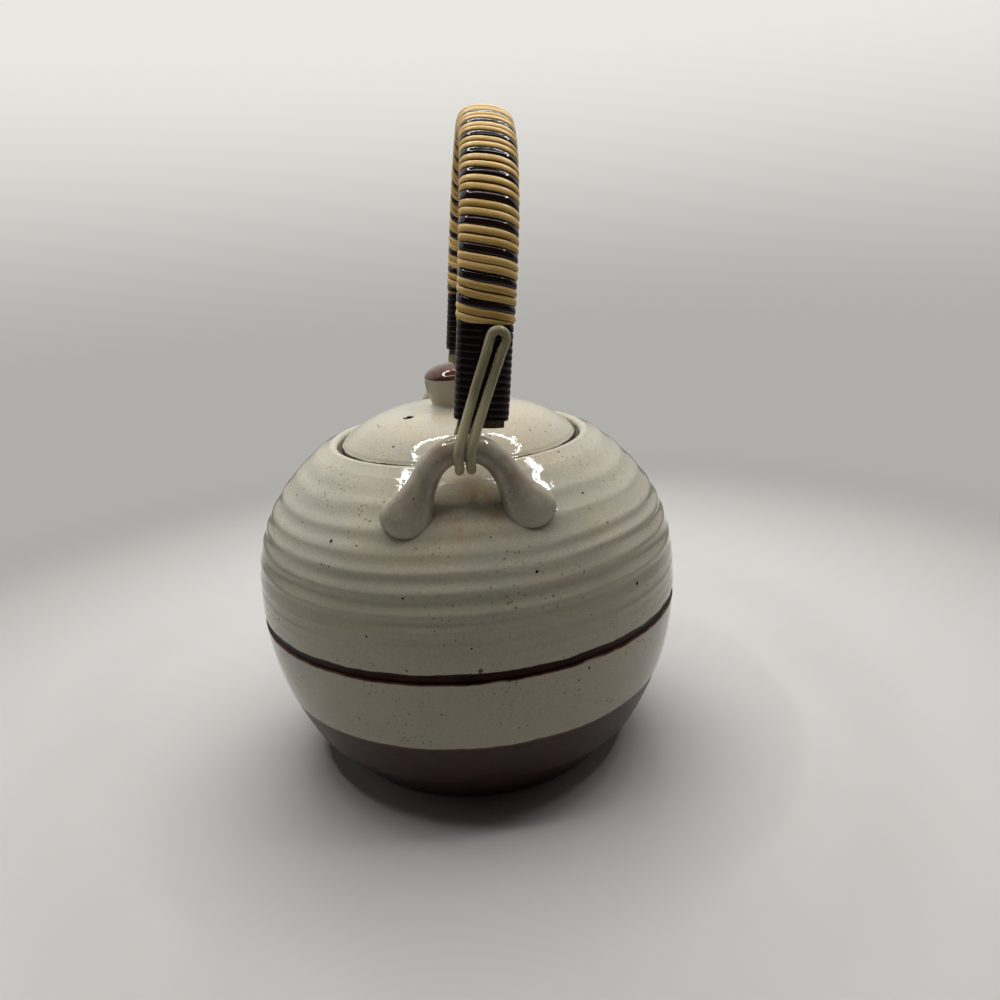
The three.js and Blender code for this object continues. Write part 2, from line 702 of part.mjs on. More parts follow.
// Hook: one length of cane bent double. Both legs come down out of the handle, pass
// under the lug from the pot's side, and rise outside to the bend at the top.
function hook(outwards) {
  const toPot = (across, out, up) =>
    handle.localToWorld(point(across, outwards * (archRadius + out), up));
  const outerFace = windHalfThickness + STRIP_THICKNESS + SEAT_GAP + caneRadius;
  const half = CANE_SPACING / 2;
  const halfAtLug = CANE_SPACING_AT_LUG / 2;
  const legBottom = outwards < 0 ? backLegBottom : frontLegBottom;
  const slant = (HOOK_TOP_OFFSET + HOOK_EXIT_OFFSET) / HOOK_TOP_HEIGHT;
  const leg = (side) => {
    const underCrown = HOOK_CROWN_TURNS.map((degrees) => {
      const turn = radians(degrees);
      return point(
        side * halfAtLug,
        outwards * (lugDistance + hookBendRadius * Math.sin(turn)),
        crownHeight - hookBendRadius * Math.cos(turn),
      ).applyAxisAngle(Z_AXIS, lugTurn(outwards));
    });
    const tucked = HOOK_TUCK_SHARES.map((share) => {
      const up = HOOK_TUCK * share;
      return toPot(side * half - HOOK_EXIT_OFFSET + slant * up, 0, legBottom + up);
    });
    const rising = HOOK_RISE_SHARES.map((share) =>
      toPot(
        side * lerp(halfAtLug, half, share) + lerp(-HANDLE_SHIFT, HOOK_TOP_OFFSET, share),
        outerFace + 4 * HOOK_BOW * share * (1 - share),
        HOOK_TOP_HEIGHT * share,
      ),
    );
    return [...tucked, ...underCrown, ...rising];
  };
  const bend = HOOK_TOP_TURNS.map((degrees) => {
    const turn = radians(degrees);
    const across = HOOK_TOP_OFFSET + half * Math.sin(turn);
    return toPot(across, outerFace, HOOK_TOP_HEIGHT + half * Math.cos(turn));
  });
  const route = new THREE.CatmullRomCurve3([...leg(-1), ...bend, ...leg(1).reverse()]);
  const section = new THREE.Shape(
    shares(HOOK_SIDES)
      .slice(0, HOOK_SIDES)
      .map((share) => {
        const turn = 2 * Math.PI * share;
        return new THREE.Vector2(caneRadius * Math.cos(turn), caneRadius * Math.sin(turn));
      }),
  );
  return new THREE.ExtrudeGeometry(section, { steps: HOOK_STEPS, extrudePath: route });
}

// Least distance between a winding's neighbouring turns, measured on its points.
function leastTurnGap(geometry, section) {
  const perTurn = TURN_STEPS * section.length;
  const reach = section.length - 1;
  const positions = geometry.getAttribute("position");
  const here = point(0, 0, 0);
  const there = point(0, 0, 0);
  let least = Infinity;
  for (let i = 0; i + perTurn < positions.count; i++) {
    here.fromBufferAttribute(positions, i);
    for (let j = i + perTurn - reach; j <= i + perTurn + reach && j < positions.count; j++) {
      there.fromBufferAttribute(positions, j);
      least = Math.min(least, here.distanceTo(there));
    }
  }
  return least;
}

const teapot = new THREE.Group();

function addPiece(parent, name, geometry, material) {
  const mesh = new THREE.Mesh(geometry, new THREE.MeshStandardMaterial({ metalness: 0, ...material }));
  mesh.name = name;
  parent.add(mesh);
  return mesh;
}

addPiece(teapot, "pot", pot(), CREAM_GLAZE);
addPiece(teapot, "spout", spout(), CREAM_GLAZE);
addPiece(teapot, "back_lug", lug(-1), CREAM_GLAZE);
addPiece(teapot, "front_lug", lug(1), CREAM_GLAZE);
addPiece(teapot, "lid", lid(), CREAM_GLAZE);
addPiece(teapot, "lid_knob", knob(), CREAM_GLAZE);

const fillerEnd = HOOK_TUCK + caneRadius + SEAT_GAP;
addPiece(handle, "outer_slat", alongHandle(slatSection(1), 0, archLength, CORE_STEPS), CORE_CANE);
addPiece(handle, "inner_slat", alongHandle(slatSection(-1), 0, archLength, CORE_STEPS), CORE_CANE);
addPiece(
  handle,
  "filler_slat",
  alongHandle(fillerSection(), fillerEnd, archLength - fillerEnd, CORE_STEPS),
  CORE_CANE,
);

// Three strips make the pattern. They start a third of a turn apart, so they lie side by side.
const patternFrom = BACK_LEG - PATTERN_LEG;
const patternTo = archLength - FRONT_LEG + PATTERN_LEG;
const patternPitch = (patternTo - patternFrom - STRIP_WIDTH) / PATTERN_TURNS;
[
  ["dark_strip", DARK_CANE],
  ["first_natural_strip", NATURAL_CANE],
  ["second_natural_strip", NATURAL_CANE],
].forEach(([name, material], i) => {
  const strip = winding({
    from: patternFrom + STRIP_WIDTH / 2,
    pitch: patternPitch,
    turns: PATTERN_TURNS,
    width: STRIP_WIDTH,
    thickness: STRIP_THICKNESS,
    section: FLAT_STRIP,
    startTurn: i / 3,
  });
  addPiece(handle, name, strip, material);
  const gap = leastTurnGap(strip, FLAT_STRIP);
  console.log(name + " least gap between turns " + gap.toFixed(2) + " mm");
});

[
  ["back_end_wrap", 0, patternFrom],
  ["front_end_wrap", patternTo, archLength],
].forEach(([name, from, to]) => {
  const room = to - from - END_STRIP_WIDTH - SEAT_GAP;
  const turns = Math.round(room / END_PITCH);
  const wrap = winding({
    from: from + SEAT_GAP / 2 + END_STRIP_WIDTH / 2,
    pitch: room / turns,
    turns,
    width: END_STRIP_WIDTH,
    thickness: END_STRIP_THICKNESS,
    section: RIDGED_STRIP,
    startTurn: 0,
  });
  addPiece(handle, name, wrap, DARK_CANE);
  const gap = leastTurnGap(wrap, RIDGED_STRIP);
  console.log(name + " least gap between turns " + gap.toFixed(2) + " mm");
});

addPiece(teapot, "back_hook", hook(-1), HOOK_CANE);
addPiece(teapot, "front_hook", hook(1), HOOK_CANE);
teapot.add(handle);

export default teapot;
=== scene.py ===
# %% [markdown]
# # Stoneware teapot with a cane-wrapped handle
#
# A round teapot thrown on the wheel: a ringed shoulder under an ash-white glaze, a brown
# groove round the belly and a brown trimmed base. The handle is bent cane wrapped in
# strips, hooked through two pulled clay lugs. The frame gives every piece its place, and
# the cells below dress it, from the clay outwards.

# %% Load the frame
import math

import bmesh
import bpy
from mathutils import Matrix, Vector, noise


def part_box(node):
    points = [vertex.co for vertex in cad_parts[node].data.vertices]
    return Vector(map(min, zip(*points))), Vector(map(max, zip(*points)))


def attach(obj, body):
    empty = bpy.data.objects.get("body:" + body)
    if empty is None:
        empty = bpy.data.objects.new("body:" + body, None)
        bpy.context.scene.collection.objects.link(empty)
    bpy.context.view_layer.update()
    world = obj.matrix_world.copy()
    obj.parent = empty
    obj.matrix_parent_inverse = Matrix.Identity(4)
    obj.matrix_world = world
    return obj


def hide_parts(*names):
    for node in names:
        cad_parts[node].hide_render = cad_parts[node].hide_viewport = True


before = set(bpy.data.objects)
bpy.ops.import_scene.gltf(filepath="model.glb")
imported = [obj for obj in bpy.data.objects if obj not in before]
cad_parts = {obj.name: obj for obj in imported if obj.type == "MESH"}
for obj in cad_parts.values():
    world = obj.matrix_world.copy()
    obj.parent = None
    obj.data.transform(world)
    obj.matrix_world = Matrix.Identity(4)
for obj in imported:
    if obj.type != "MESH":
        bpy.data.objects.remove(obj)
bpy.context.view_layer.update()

# %% [markdown]
# ## Camera
#
# The photograph looks down at the pot from just above its handle's height, from close by,
# with a phone's wide lens. A camera can be placed by eye in the viewport, or aimed at a
# point. Here its place was worked out from the pot's rim, groove and glaze line, and it is
# written down as a place and three turns, as they are read off a tripod head.

# %% Camera
MM = 0.001
FULL_TURN = 2 * math.pi
EYE = Vector((-6.185, -295.293, 181.603)) * MM
LENS_MM = 31.68
NEAREST_SEEN = 10 * MM
PAN = math.radians(3.683)
TILT_DOWN = math.radians(17.737)
ROLL = math.radians(-3.512)

forward = Vector((
    math.sin(PAN) * math.cos(TILT_DOWN),
    math.cos(PAN) * math.cos(TILT_DOWN),
    -math.sin(TILT_DOWN),
))
level = Vector((math.cos(PAN), -math.sin(PAN), 0))
upright = level.cross(forward)
camera_right = level * math.cos(ROLL) + upright * math.sin(ROLL)
camera_up = upright * math.cos(ROLL) - level * math.sin(ROLL)
camera = bpy.data.objects.new("camera", bpy.data.cameras.new("camera"))
camera.data.lens = LENS_MM
camera.data.clip_start = NEAREST_SEEN
turn_of_camera = Matrix((camera_right, camera_up, -forward)).transposed()
camera.matrix_world = Matrix.Translation(EYE) @ turn_of_camera.to_4x4()
bpy.context.scene.collection.objects.link(camera)
bpy.context.scene.camera = camera
bpy.context.scene.view_settings.view_transform = "Standard"
print("camera", round(EYE.length / MM), "mm from the foot")

# %% [markdown]
# ## Helpers for meshes
#
# Nearly every piece here is a row of rings: the potter's wheel turns an outline round an
# axis, and cane is a section carried along a line. Blender's Screw modifier and bevelled
# curves make both, but they can't let each ring differ a little, as hand work does. So one
# helper skins rings of points into a mesh, and another turns an outline. Both work in
# millimetres, and they leave only real creases sharp.


# %% Helpers for meshes
# Neighbouring faces that meet at a larger angle than this show as an edge.
CREASE_DEGREES = 48


def shares(steps):
    """Numbers from 0 to 1 in equal steps, both ends included."""
    return [i / steps for i in range(steps + 1)]


def lerp(low, high, share):
    """The value that lies a share of the way from low to high."""
    return low + (high - low) * share


def new_piece(name, points, faces):
    """A smooth mesh object from points in millimetres, with its real creases left sharp."""
    mesh = bpy.data.meshes.new(name)
    mesh.from_pydata([Vector(p) * MM for p in points], [], faces)
    work = bmesh.new()
    work.from_mesh(mesh)
    bmesh.ops.recalc_face_normals(work, faces=work.faces)
    for face in work.faces:
        face.smooth = True
    for edge in work.edges:
        edge.smooth = edge.calc_face_angle(0) < math.radians(CREASE_DEGREES)
    work.to_mesh(mesh)
    work.free()
    piece = bpy.data.objects.new(name, mesh)
    bpy.context.scene.collection.objects.link(piece)
    return piece


def skin(name, rings, looped=False):
    """Skins rings of points. A looped skin joins its last ring to its first, others get caps."""
    around = len(rings[0])
    points = [p for ring in rings for p in ring]
    faces = []
    for i in range(len(rings) if looped else len(rings) - 1):
        here = i * around
        there = ((i + 1) % len(rings)) * around
        for j in range(around):
            k = (j + 1) % around
            faces.append((here + j, here + k, there + k, there + j))
    if not looped:
        last = (len(rings) - 1) * around
        for start in (0, last):
            middle = len(points)
            total = sum((Vector(p) for p in points[start:start + around]), Vector())
            points.append(total / around)
            for j in range(around):
                faces.append((start + j, start + (j + 1) % around, middle))
    return new_piece(name, points, faces)


def turned(name, outline, around, shape=None):
    """Turns an outline of (radius, height) points about the Z axis, from axis to axis.
    shape may move a point of the outline, given its place in the outline and its turn."""
    points = [Vector((0, 0, outline[0][1])), Vector((0, 0, outline[-1][1]))]
    rows = outline[1:-1]
    for i, (radius, height) in enumerate(rows):
        for share in shares(around)[:-1]:
            turn = FULL_TURN * share
            r = shape(i, radius, height, turn) if shape else radius
            points.append(Vector((r * math.cos(turn), r * math.sin(turn), height)))
    faces = []
    top = 2 + (len(rows) - 1) * around
    for j in range(around):
        k = (j + 1) % around
        faces.append((0, 2 + k, 2 + j))
        faces.append((1, top + j, top + k))
        for i in range(len(rows) - 1):
            low = 2 + i * around
            faces.append((low + j, low + k, low + around + k, low + around + j))
    return new_piece(name, points, faces)


def arc(centre, radius, from_degrees, to_degrees, steps):
    """Points of an outline round an arc, with 0 degrees outwards and 90 upwards."""
    turns = [math.radians(lerp(from_degrees, to_degrees, s)) for s in shares(steps)]
    return [(centre[0] + radius * math.cos(t), centre[1] + radius * math.sin(t)) for t in turns]


def ring_of(centre, side, up, radius_side, radius_up, around):
    """An oval ring of points about a centre, in the plane of two directions."""
    points = []
    for share in shares(around)[:-1]:
        turn = FULL_TURN * share
        points.append(
            centre + side * radius_side * math.cos(turn) + up * radius_up * math.sin(turn)
        )
    return points


def cut(piece, *tools):
    """Cuts tools out of a piece, and deletes the tools."""
    for tool in tools:
        modifier = piece.modifiers.new("cut", "BOOLEAN")
        modifier.operation = "DIFFERENCE"
        modifier.solver = "EXACT"
        modifier.object = tool
    bpy.context.view_layer.update()
    shown = piece.evaluated_get(bpy.context.evaluated_depsgraph_get())
    mesh = bpy.data.meshes.new_from_object(shown)
    piece.modifiers.clear()
    piece.data = mesh
    for tool in tools:
        bpy.data.objects.remove(tool)


def drill(name, start, end, radius, around=24):
    """A straight round tool between two points, to drill with."""
    start, end = Vector(start), Vector(end)
    along = (end - start).normalized()
    side = along.orthogonal().normalized()
    up = along.cross(side)
    rings = [ring_of(centre, side, up, radius, radius, around) for centre in (start, end)]
    return skin(name, rings)


def dress(piece, body, material, slot, *nodes):
    """Gives a piece its material and its body, and hides the CAD nodes that it stands for."""
    piece.data.materials.clear()
    piece.data.materials.append(material)
    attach(piece, body)
    if nodes:
        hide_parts(*nodes)
    print(piece.name, len(piece.data.polygons), "faces")


# %% [markdown]
# ## Helpers for materials
#
# A finish is a small tree of nodes. It can be drawn by hand in the shader editor, but
# written out it can be read, repeated and changed. One function turns a hex colour, as a
# paint chart gives it, into the linear values that Blender mixes with. Another adds a
# node, sets its sockets and draws its links in one line, so that each recipe below can be
# read in order.


# %% Helpers for materials
def linear(hex_colour):
    """The linear colour of an sRGB hex value such as 0xd2b271."""
    channels = [(hex_colour >> shift & 255) / 255 for shift in (16, 8, 0)]
    return tuple(
        c / 12.92 if c <= 0.04045 else ((c + 0.055) / 1.055) ** 2.4 for c in channels
    ) + (1.0,)


def add_node(tree, kind, settings=None, **sockets):
    """Adds a node. A socket is given a value, or the output of another node to link to it.
    A socket's name is written with _ for its spaces, or as in0, in1 for its number."""
    node = tree.nodes.new(kind)
    for name, value in (settings or {}).items():
        setattr(node, name, value)
    for name, value in sockets.items():
        numbered = name.startswith("in") and name[2:].isdigit()
        socket = node.inputs[int(name[2:]) if numbered else name.replace("_", " ")]
        if isinstance(value, bpy.types.NodeSocket):
            tree.links.new(value, socket)
        else:
            socket.default_value = value
    return node


def new_material(name):
    """An empty material with its Principled shader, and its node tree."""
    material = bpy.data.materials.new(name)
    material.use_nodes = True
    tree = material.node_tree
    return material, tree, tree.nodes["Principled BSDF"]


def place_in_mm(tree):
    """The place on the object in millimetres, in the frame's own axes."""
    where = add_node(tree, "ShaderNodeTexCoord").outputs["Object"]
    scaled = add_node(
        tree, "ShaderNodeVectorMath", {"operation": "SCALE"}, in0=where, Scale=1 / MM
    )
    return scaled.outputs[0]


def height_of(tree, where):
    """The height part of a place."""
    return add_node(tree, "ShaderNodeSeparateXYZ", Vector=where).outputs[2]


def fade(tree, value, low, high, to_low=0.0, to_high=1.0):
    """A value mapped smoothly from one range to another and held at its ends."""
    node = add_node(
        tree, "ShaderNodeMapRange", {"interpolation_type": "SMOOTHSTEP"},
        Value=value, From_Min=low, From_Max=high, To_Min=to_low, To_Max=to_high,
    )
    return node.outputs[0]


def math_of(tree, operation, first, second=0.0):
    """The result of one operation on a number, or on two."""
    node = add_node(tree, "ShaderNodeMath", {"operation": operation}, in0=first, in1=second)
    return node.outputs[0]


def blend_colours(tree, share, first, second, blend="MIX"):
    """Mixes two colours, each a hex value or the output of a node."""
    first, second = (linear(c) if isinstance(c, int) else c for c in (first, second))
    node = add_node(
        tree, "ShaderNodeMix", {"data_type": "RGBA", "blend_type": blend},
        in0=share, in6=first, in7=second,
    )
    return node.outputs[2]


def cloud(tree, where, size_mm, detail=2.0, roughness=0.5):
    """Soft noise between 0 and 1 whose patches are about size_mm across."""
    node = add_node(
        tree, "ShaderNodeTexNoise",
        Vector=where, Scale=1 / size_mm, Detail=detail, Roughness=roughness,
    )
    return node.outputs[0]


def raise_surface(tree, shader, height, distance_mm):
    """Bump by a height between 0 and 1 that stands for distance_mm of relief."""
    bump = add_node(tree, "ShaderNodeBump", Height=height, Distance=distance_mm * MM)
    tree.links.new(bump.outputs[0], shader.inputs["Normal"])


# %% [markdown]
# ## Stoneware under an ash-white glaze
#
# The glaze was poured over a brown, iron-bearing clay and fired until it ran. In the hollows
# and low on the shoulder it is greyer and darker: partly because it lies thick there, and partly
# as painted shade, for the shade in the rings' hollows and on the belly below the light. Where
# it is thin it turns warm or ochre. Iron burns through it as dark specks of 0.4 to 1.5 mm,
# with clusters of finer ones between them. It was left off the groove and the base, which
# stay brown, with a rusty line where the glaze ends. A photograph of glaze could be wrapped
# round the pot, but it would stretch and repeat. Noise in the pot's own millimetres does
# neither, and one material divided by height holds it all, because the pot is one surface.
# Specks are Voronoi cells: their spacing and size are known, and only some of the cells
# reach the surface. A glaze is glass, so it is smooth, with an IOR of 1.5, but its skin
# ripples slightly as it sets, which breaks up the edges of the lamps' reflections.

# %% Colours of the glaze and the clay
GLAZE_COOL = 0xB7B4A4
GLAZE_WARM = 0xC3B9A1
GLAZE_OCHRE = 0xAC8D5E
GLAZE_THICK_AND_SHADE = 0x9D9A88
GLAZE_GRAIN = 0x8E8064
THIN_GLAZE = 0x836C58
IRON_SPECK = 0x2A1D16
RUSTY_SPECK = 0x5A4230
BROWN_CLAY = 0x2C1A18
RUSTY_CLAY = 0x4A2B26
GROOVE_CLAY = 0x24130F
RUST_LINE = 0x5E3021
WHITE = 0xFFFFFF

# %% Sizes and shares of the glaze
# Heights between which a lug's glaze thins out, from its feet to its crown.
THICK_BELOW = 100.0
THIN_ABOVE = 113.0
# Heights over which the shoulder is painted darker going down, as shade on the belly where glaze
# that ran down also lies thick, and its share there.
SHADED_RUN_TO = 66.0
SHADED_RUN_FROM = 98.0
SHADED_RUN_SHARE = 0.7
# Share of thick glaze and painted shade in the deepest hollows.
POOL_AND_SHADE_SHARE = 0.3
OCHRE_SHARE = 0.3
GRAIN_SHARE = 0.3
GLAZE_ROUGHNESS = 0.05
GLASS_IOR = 1.5
RIPPLE_SIZE = 2.4
RIPPLE_DEPTH = 0.07
# Roughness and tint of the gleam on the trimmed clay, and on the coarser groove.
BASE_GLEAM = (0.36, 0xCFC6C0)
GROOVE_GLEAM = (0.5, 0x5C4A44)
# Cells of specks: their spacing, their least and greatest radius, strength and colour.
# Where the least radius is below 0, some of the cells hold no speck.
SPECKS = [
    (13.0, 0.4, 0.75, 1.0, IRON_SPECK),
    (6.1, 0.2, 0.5, 1.0, IRON_SPECK),
    (1.1, -0.3, 0.42, 0.75, RUSTY_SPECK),
]
SPECK_EDGE = 0.1
# Share of the cells whose speck has the least radius.
LEAST_SPECKS = 0.25
# How far the glaze's lower edge wanders up and down, and how sharp it is.
EDGE_WANDER = 0.5
EDGE_BLUR = 0.12


# %% Specks, glaze and blushes
def specks(tree, where, spacing_mm, least_mm, most_mm):
    """1 inside specks of iron, 0 outside. Each cell's own random number sets its size."""
    cells = add_node(
        tree, "ShaderNodeTexVoronoi", {"feature": "F1"}, Vector=where, Scale=1 / spacing_mm
    )
    chance = add_node(tree, "ShaderNodeSeparateColor", Color=cells.outputs["Color"]).outputs[0]
    radius = add_node(
        tree, "ShaderNodeMapRange", Value=chance, From_Min=LEAST_SPECKS, From_Max=1.0,
        To_Min=least_mm / spacing_mm, To_Max=most_mm / spacing_mm,
    ).outputs[0]
    inside = math_of(tree, "SUBTRACT", radius, cells.outputs["Distance"])
    return fade(tree, inside, -SPECK_EDGE / spacing_mm, SPECK_EDGE / spacing_mm)


def glaze_colour(tree, where, thickness):
    """Ash-white glaze with its mottling, ochre patches, thick glaze and painted shade, fine grains
    and iron specks.
    """
    mottle = fade(tree, cloud(tree, where, 22.0, 4.0), 0.35, 0.7)
    colour = blend_colours(tree, mottle, GLAZE_COOL, GLAZE_WARM)
    ochre = fade(tree, cloud(tree, where, 15.0, 3.0, 0.6), 0.56, 0.8, 0.0, OCHRE_SHARE)
    colour = blend_colours(tree, ochre, colour, GLAZE_OCHRE)
    # Thick glaze, and painted shade in the hollows and low on the shoulder, turn it greyer and
    # darker.
    colour = blend_colours(tree, thickness, colour, GLAZE_THICK_AND_SHADE)
    grain = fade(tree, cloud(tree, where, 0.7, 2.0), 0.25, 0.75, 0.0, GRAIN_SHARE)
    colour = blend_colours(tree, grain, colour, GLAZE_GRAIN)
    clusters = fade(tree, cloud(tree, where, 14.0, 3.0), 0.48, 0.64)
    for spacing, least, most, strength, speck_hex in SPECKS:
        spots = math_of(tree, "MULTIPLY", specks(tree, where, spacing, least, most), strength)
        if strength < 1:
            spots = math_of(tree, "MULTIPLY", spots, clusters)
        colour = blend_colours(tree, spots, colour, speck_hex)
    return colour


def near_places(tree, where, places, full_mm, reach_mm):
    """1 within a distance of the given places, falling to 0 at a greater one."""
    nearest = None
    for place in places:
        distance = add_node(
            tree, "ShaderNodeVectorMath", {"operation": "DISTANCE"}, in0=where, in1=place
        ).outputs["Value"]
        nearest = distance if nearest is None else math_of(tree, "MINIMUM", distance, nearest)
    return fade(tree, nearest, full_mm, reach_mm, 1.0, 0.0)


def pooled_glaze_and_shade(tree, height):
    """Share of thick glaze and painted shade, in the hollows and low on the shoulder where the
    glaze ran down.
    """
    pool_and_shade = add_node(tree, "ShaderNodeAttribute", {"attribute_name": "pool_and_shade"}).outputs["Fac"]
    pool_and_shade = fade(tree, pool_and_shade, 0.2, 1.0, 0.0, POOL_AND_SHADE_SHARE)
    shaded_run = fade(tree, height, SHADED_RUN_TO, SHADED_RUN_FROM, SHADED_RUN_SHARE, 0.0)
    return math_of(tree, "ADD", pool_and_shade, shaded_run)


def thin_glaze(tree, where, height, thin, colour):
    """Streaks of clay that show through, more of them towards a lug's crown."""
    streaks = fade(tree, cloud(tree, where, 7.0, 3.0, 0.6), 0.3, 0.7, 0.3 * thin, thin)
    higher = fade(tree, height, THICK_BELOW, THIN_ABOVE, 0.2, 1.0)
    return blend_colours(tree, math_of(tree, "MULTIPLY", streaks, higher), colour, THIN_GLAZE)


def blush(tree, where, places, colour):
    """Warm patches where the glaze drew back from a joint."""
    near = near_places(tree, where, places, 6.0, 17.0)
    patchy = fade(tree, cloud(tree, where, 5.0, 4.0, 0.65), 0.4, 0.7, 0.08, 0.7)
    return blend_colours(tree, math_of(tree, "MULTIPLY", near, patchy), colour, GLAZE_OCHRE)


# %% The whole finish
def glazed_stoneware(name, bare_bands=(), blushes=(), pooled_and_shaded=False, hole=None, thin=0.0):
    """Ash-white glaze. bare_bands are (low, high, clay, edge, gleam) bands of height in mm
    with no glaze, blushes are places where it is thin, hole is a drilled hole's place, whose
    wall is painted dark as the shade inside it, and thin is how far the clay shows through at
    the crown of a lug."""
    material, tree, shader = new_material(name)
    where = place_in_mm(tree)
    height = height_of(tree, where)
    colour = glaze_colour(tree, where, pooled_glaze_and_shade(tree, height) if pooled_and_shaded else 0.0)
    if thin:
        colour = thin_glaze(tree, where, height, thin, colour)
    if blushes:
        colour = blush(tree, where, blushes, colour)
    wander = fade(tree, cloud(tree, where, 9.0), 0.0, 1.0, -EDGE_WANDER, EDGE_WANDER)
    wavy_height = math_of(tree, "ADD", height, wander)
    roughness = GLAZE_ROUGHNESS
    tint = WHITE
    for low, high, clay_hex, edge_mm, (band_roughness, band_tint) in bare_bands:
        above = fade(tree, wavy_height, low - EDGE_BLUR, low + EDGE_BLUR)
        below = fade(tree, wavy_height, high - EDGE_BLUR, high + EDGE_BLUR, 1.0, 0.0)
        band = math_of(tree, "MULTIPLY", above, below)
        mottle = fade(tree, cloud(tree, where, 6.0, 4.0, 0.6), 0.3, 0.75, 0.0, 0.5)
        clay = blend_colours(tree, mottle, clay_hex, RUSTY_CLAY)
        line_at = high if low < 0 else low
        off_line = math_of(tree, "ABSOLUTE", math_of(tree, "SUBTRACT", wavy_height, line_at))
        line = fade(tree, off_line, edge_mm * 0.4, edge_mm, 0.75, 0.0)
        colour = blend_colours(tree, band, colour, clay)
        colour = blend_colours(tree, line, colour, RUST_LINE)
        roughness = add_node(
            tree, "ShaderNodeMix", in0=band, in2=roughness, in3=band_roughness
        ).outputs[0]
        tint = blend_colours(tree, band, tint, band_tint)
    if hole:
        # The hole's wall is painted dark clay brown: painted shade inside the hole.
        hole_shade = near_places(tree, where, [hole], 2.6, 2.9)
        colour = blend_colours(tree, hole_shade, colour, GROOVE_CLAY)
    if bare_bands:
        tree.links.new(roughness, shader.inputs["Roughness"])
        tree.links.new(tint, shader.inputs["Specular Tint"])
    else:
        shader.inputs["Roughness"].default_value = roughness
    tree.links.new(colour, shader.inputs["Base Color"])
    shader.inputs["IOR"].default_value = GLASS_IOR
    raise_surface(tree, shader, cloud(tree, where, RIPPLE_SIZE, 3.0), RIPPLE_DEPTH)
    return material


# %% [markdown]
# ## The pot
#
# The body is the potter's outline turned round the axis. The shoulder carries throwing
# rings, left by the fingers: soft hollows with a narrow ridge between them, never quite
# level and never equally deep. Bump in the material could draw them, but they show on the
# pot's edge against the backdrop, so they are in the mesh. Their heights were read off the
# photograph. A plain turned outline would look machined, so the hollows' depth and height
# drift round the pot.

# %% The pot's sizes
SIDES_ROUND = 192
pot_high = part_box("pot")[1] / MM
BODY_RADIUS = pot_high.x
RIM_HEIGHT = pot_high.z
WIDEST_HEIGHT = 60.4
RIM_OUTER_RADIUS = 45.0
MOUTH_RADIUS = 41.0
LIP_RADIUS = 1.9
LIP_IN = 2.0
LIP_FROM_DEGREES = 40
SHOULDER_BELOW_RIM = 2.2
LEDGE_HEIGHT = 107.0
THROAT_RADIUS = 36.0
THROAT_BOTTOM = 104.0
POT_WALL = 5.0
FLOOR_HEIGHT = 7.0
FLOOR_CORNER = 5.0
INNER_FLOOR_IN = 1.2
TRIM_HEIGHT = 15.0
TRIM_RADIUS = 60.8
FOOT_RADIUS = 48.0
# Steps of the rounded foot: outwards from its radius, and up.
FOOT_STEPS = [(-1.5, 0), (-0.4, 0.3), (0.5, 1.2)]
SHOULDER_POWER = 2.7
LOWER_POWER = 2.1
GLAZE_LINE = 31.6
GLAZE_THICKNESS = 0.25
GROOVE_LOW = 55.65
GROOVE_HIGH = 58.85
GROOVE_DEPTH = 0.9
GROOVE_ROUNDING = 0.15
GROOVE_SLOPE = 0.5
# Each throwing ridge: its height, and the depth of the hollow above it.
RIDGES = [
    (60.8, 0.07), (64.1, 0.12), (67.6, 0.18), (71.4, 0.32), (76.6, 0.48), (83.1, 0.42),
    (88.4, 0.34), (92.9, 0.40), (98.5, 0.42), (104.2, 0.30), (109.2, 0.0),
]
HOLLOW_POWER = 1.5
# Depth of hollow at which its thick glaze and painted shade are full.
DEEPEST_POOL_AND_SHADE = 0.55


# %% The pot's outline
def body_radius_at(height):
    """Radius of the plain shoulder or belly at a height, before rings and groove."""
    if height >= WIDEST_HEIGHT:
        share = (height - WIDEST_HEIGHT) / (RIM_HEIGHT - WIDEST_HEIGHT)
        return lerp(BODY_RADIUS, RIM_OUTER_RADIUS, share ** SHOULDER_POWER)
    share = (WIDEST_HEIGHT - height) / (WIDEST_HEIGHT - TRIM_HEIGHT)
    return lerp(BODY_RADIUS, TRIM_RADIUS, share ** LOWER_POWER)


def hollow_at(height):
    """Depth of the throwing hollows at a height on the shoulder."""
    for (low, depth), (high, _) in zip(RIDGES, RIDGES[1:]):
        if low <= height < high:
            return depth * math.sin(math.pi * (height - low) / (high - low)) ** HOLLOW_POWER
    return 0.0


foot = [(FOOT_RADIUS + out, up) for out, up in FOOT_STEPS]
bevel_foot = foot[-1]
bevel_top = (TRIM_RADIUS - GLAZE_THICKNESS, TRIM_HEIGHT)
bevel = [
    (lerp(bevel_foot[0], bevel_top[0], s), lerp(bevel_foot[1], bevel_top[1], s))
    for s in shares(8)[1:-1]
]
lower = []
for share in shares(60):
    height = lerp(TRIM_HEIGHT, GROOVE_LOW, share)
    glaze_missing = GLAZE_THICKNESS if height < GLAZE_LINE else 0
    lower.append((body_radius_at(height) - glaze_missing, height))
groove = [
    (body_radius_at(GROOVE_LOW) - GROOVE_ROUNDING, GROOVE_LOW + GROOVE_ROUNDING),
    (body_radius_at(GROOVE_LOW) - GROOVE_DEPTH, GROOVE_LOW + GROOVE_SLOPE),
    (body_radius_at(GROOVE_HIGH) - GROOVE_DEPTH, GROOVE_HIGH - GROOVE_SLOPE),
    (body_radius_at(GROOVE_HIGH) - GROOVE_ROUNDING, GROOVE_HIGH - GROOVE_ROUNDING),
]
shoulder_top = RIM_HEIGHT - SHOULDER_BELOW_RIM
shoulder_heights = [lerp(GROOVE_HIGH, shoulder_top, s) for s in shares(150)]
shoulder = [(body_radius_at(h), h) for h in shoulder_heights]
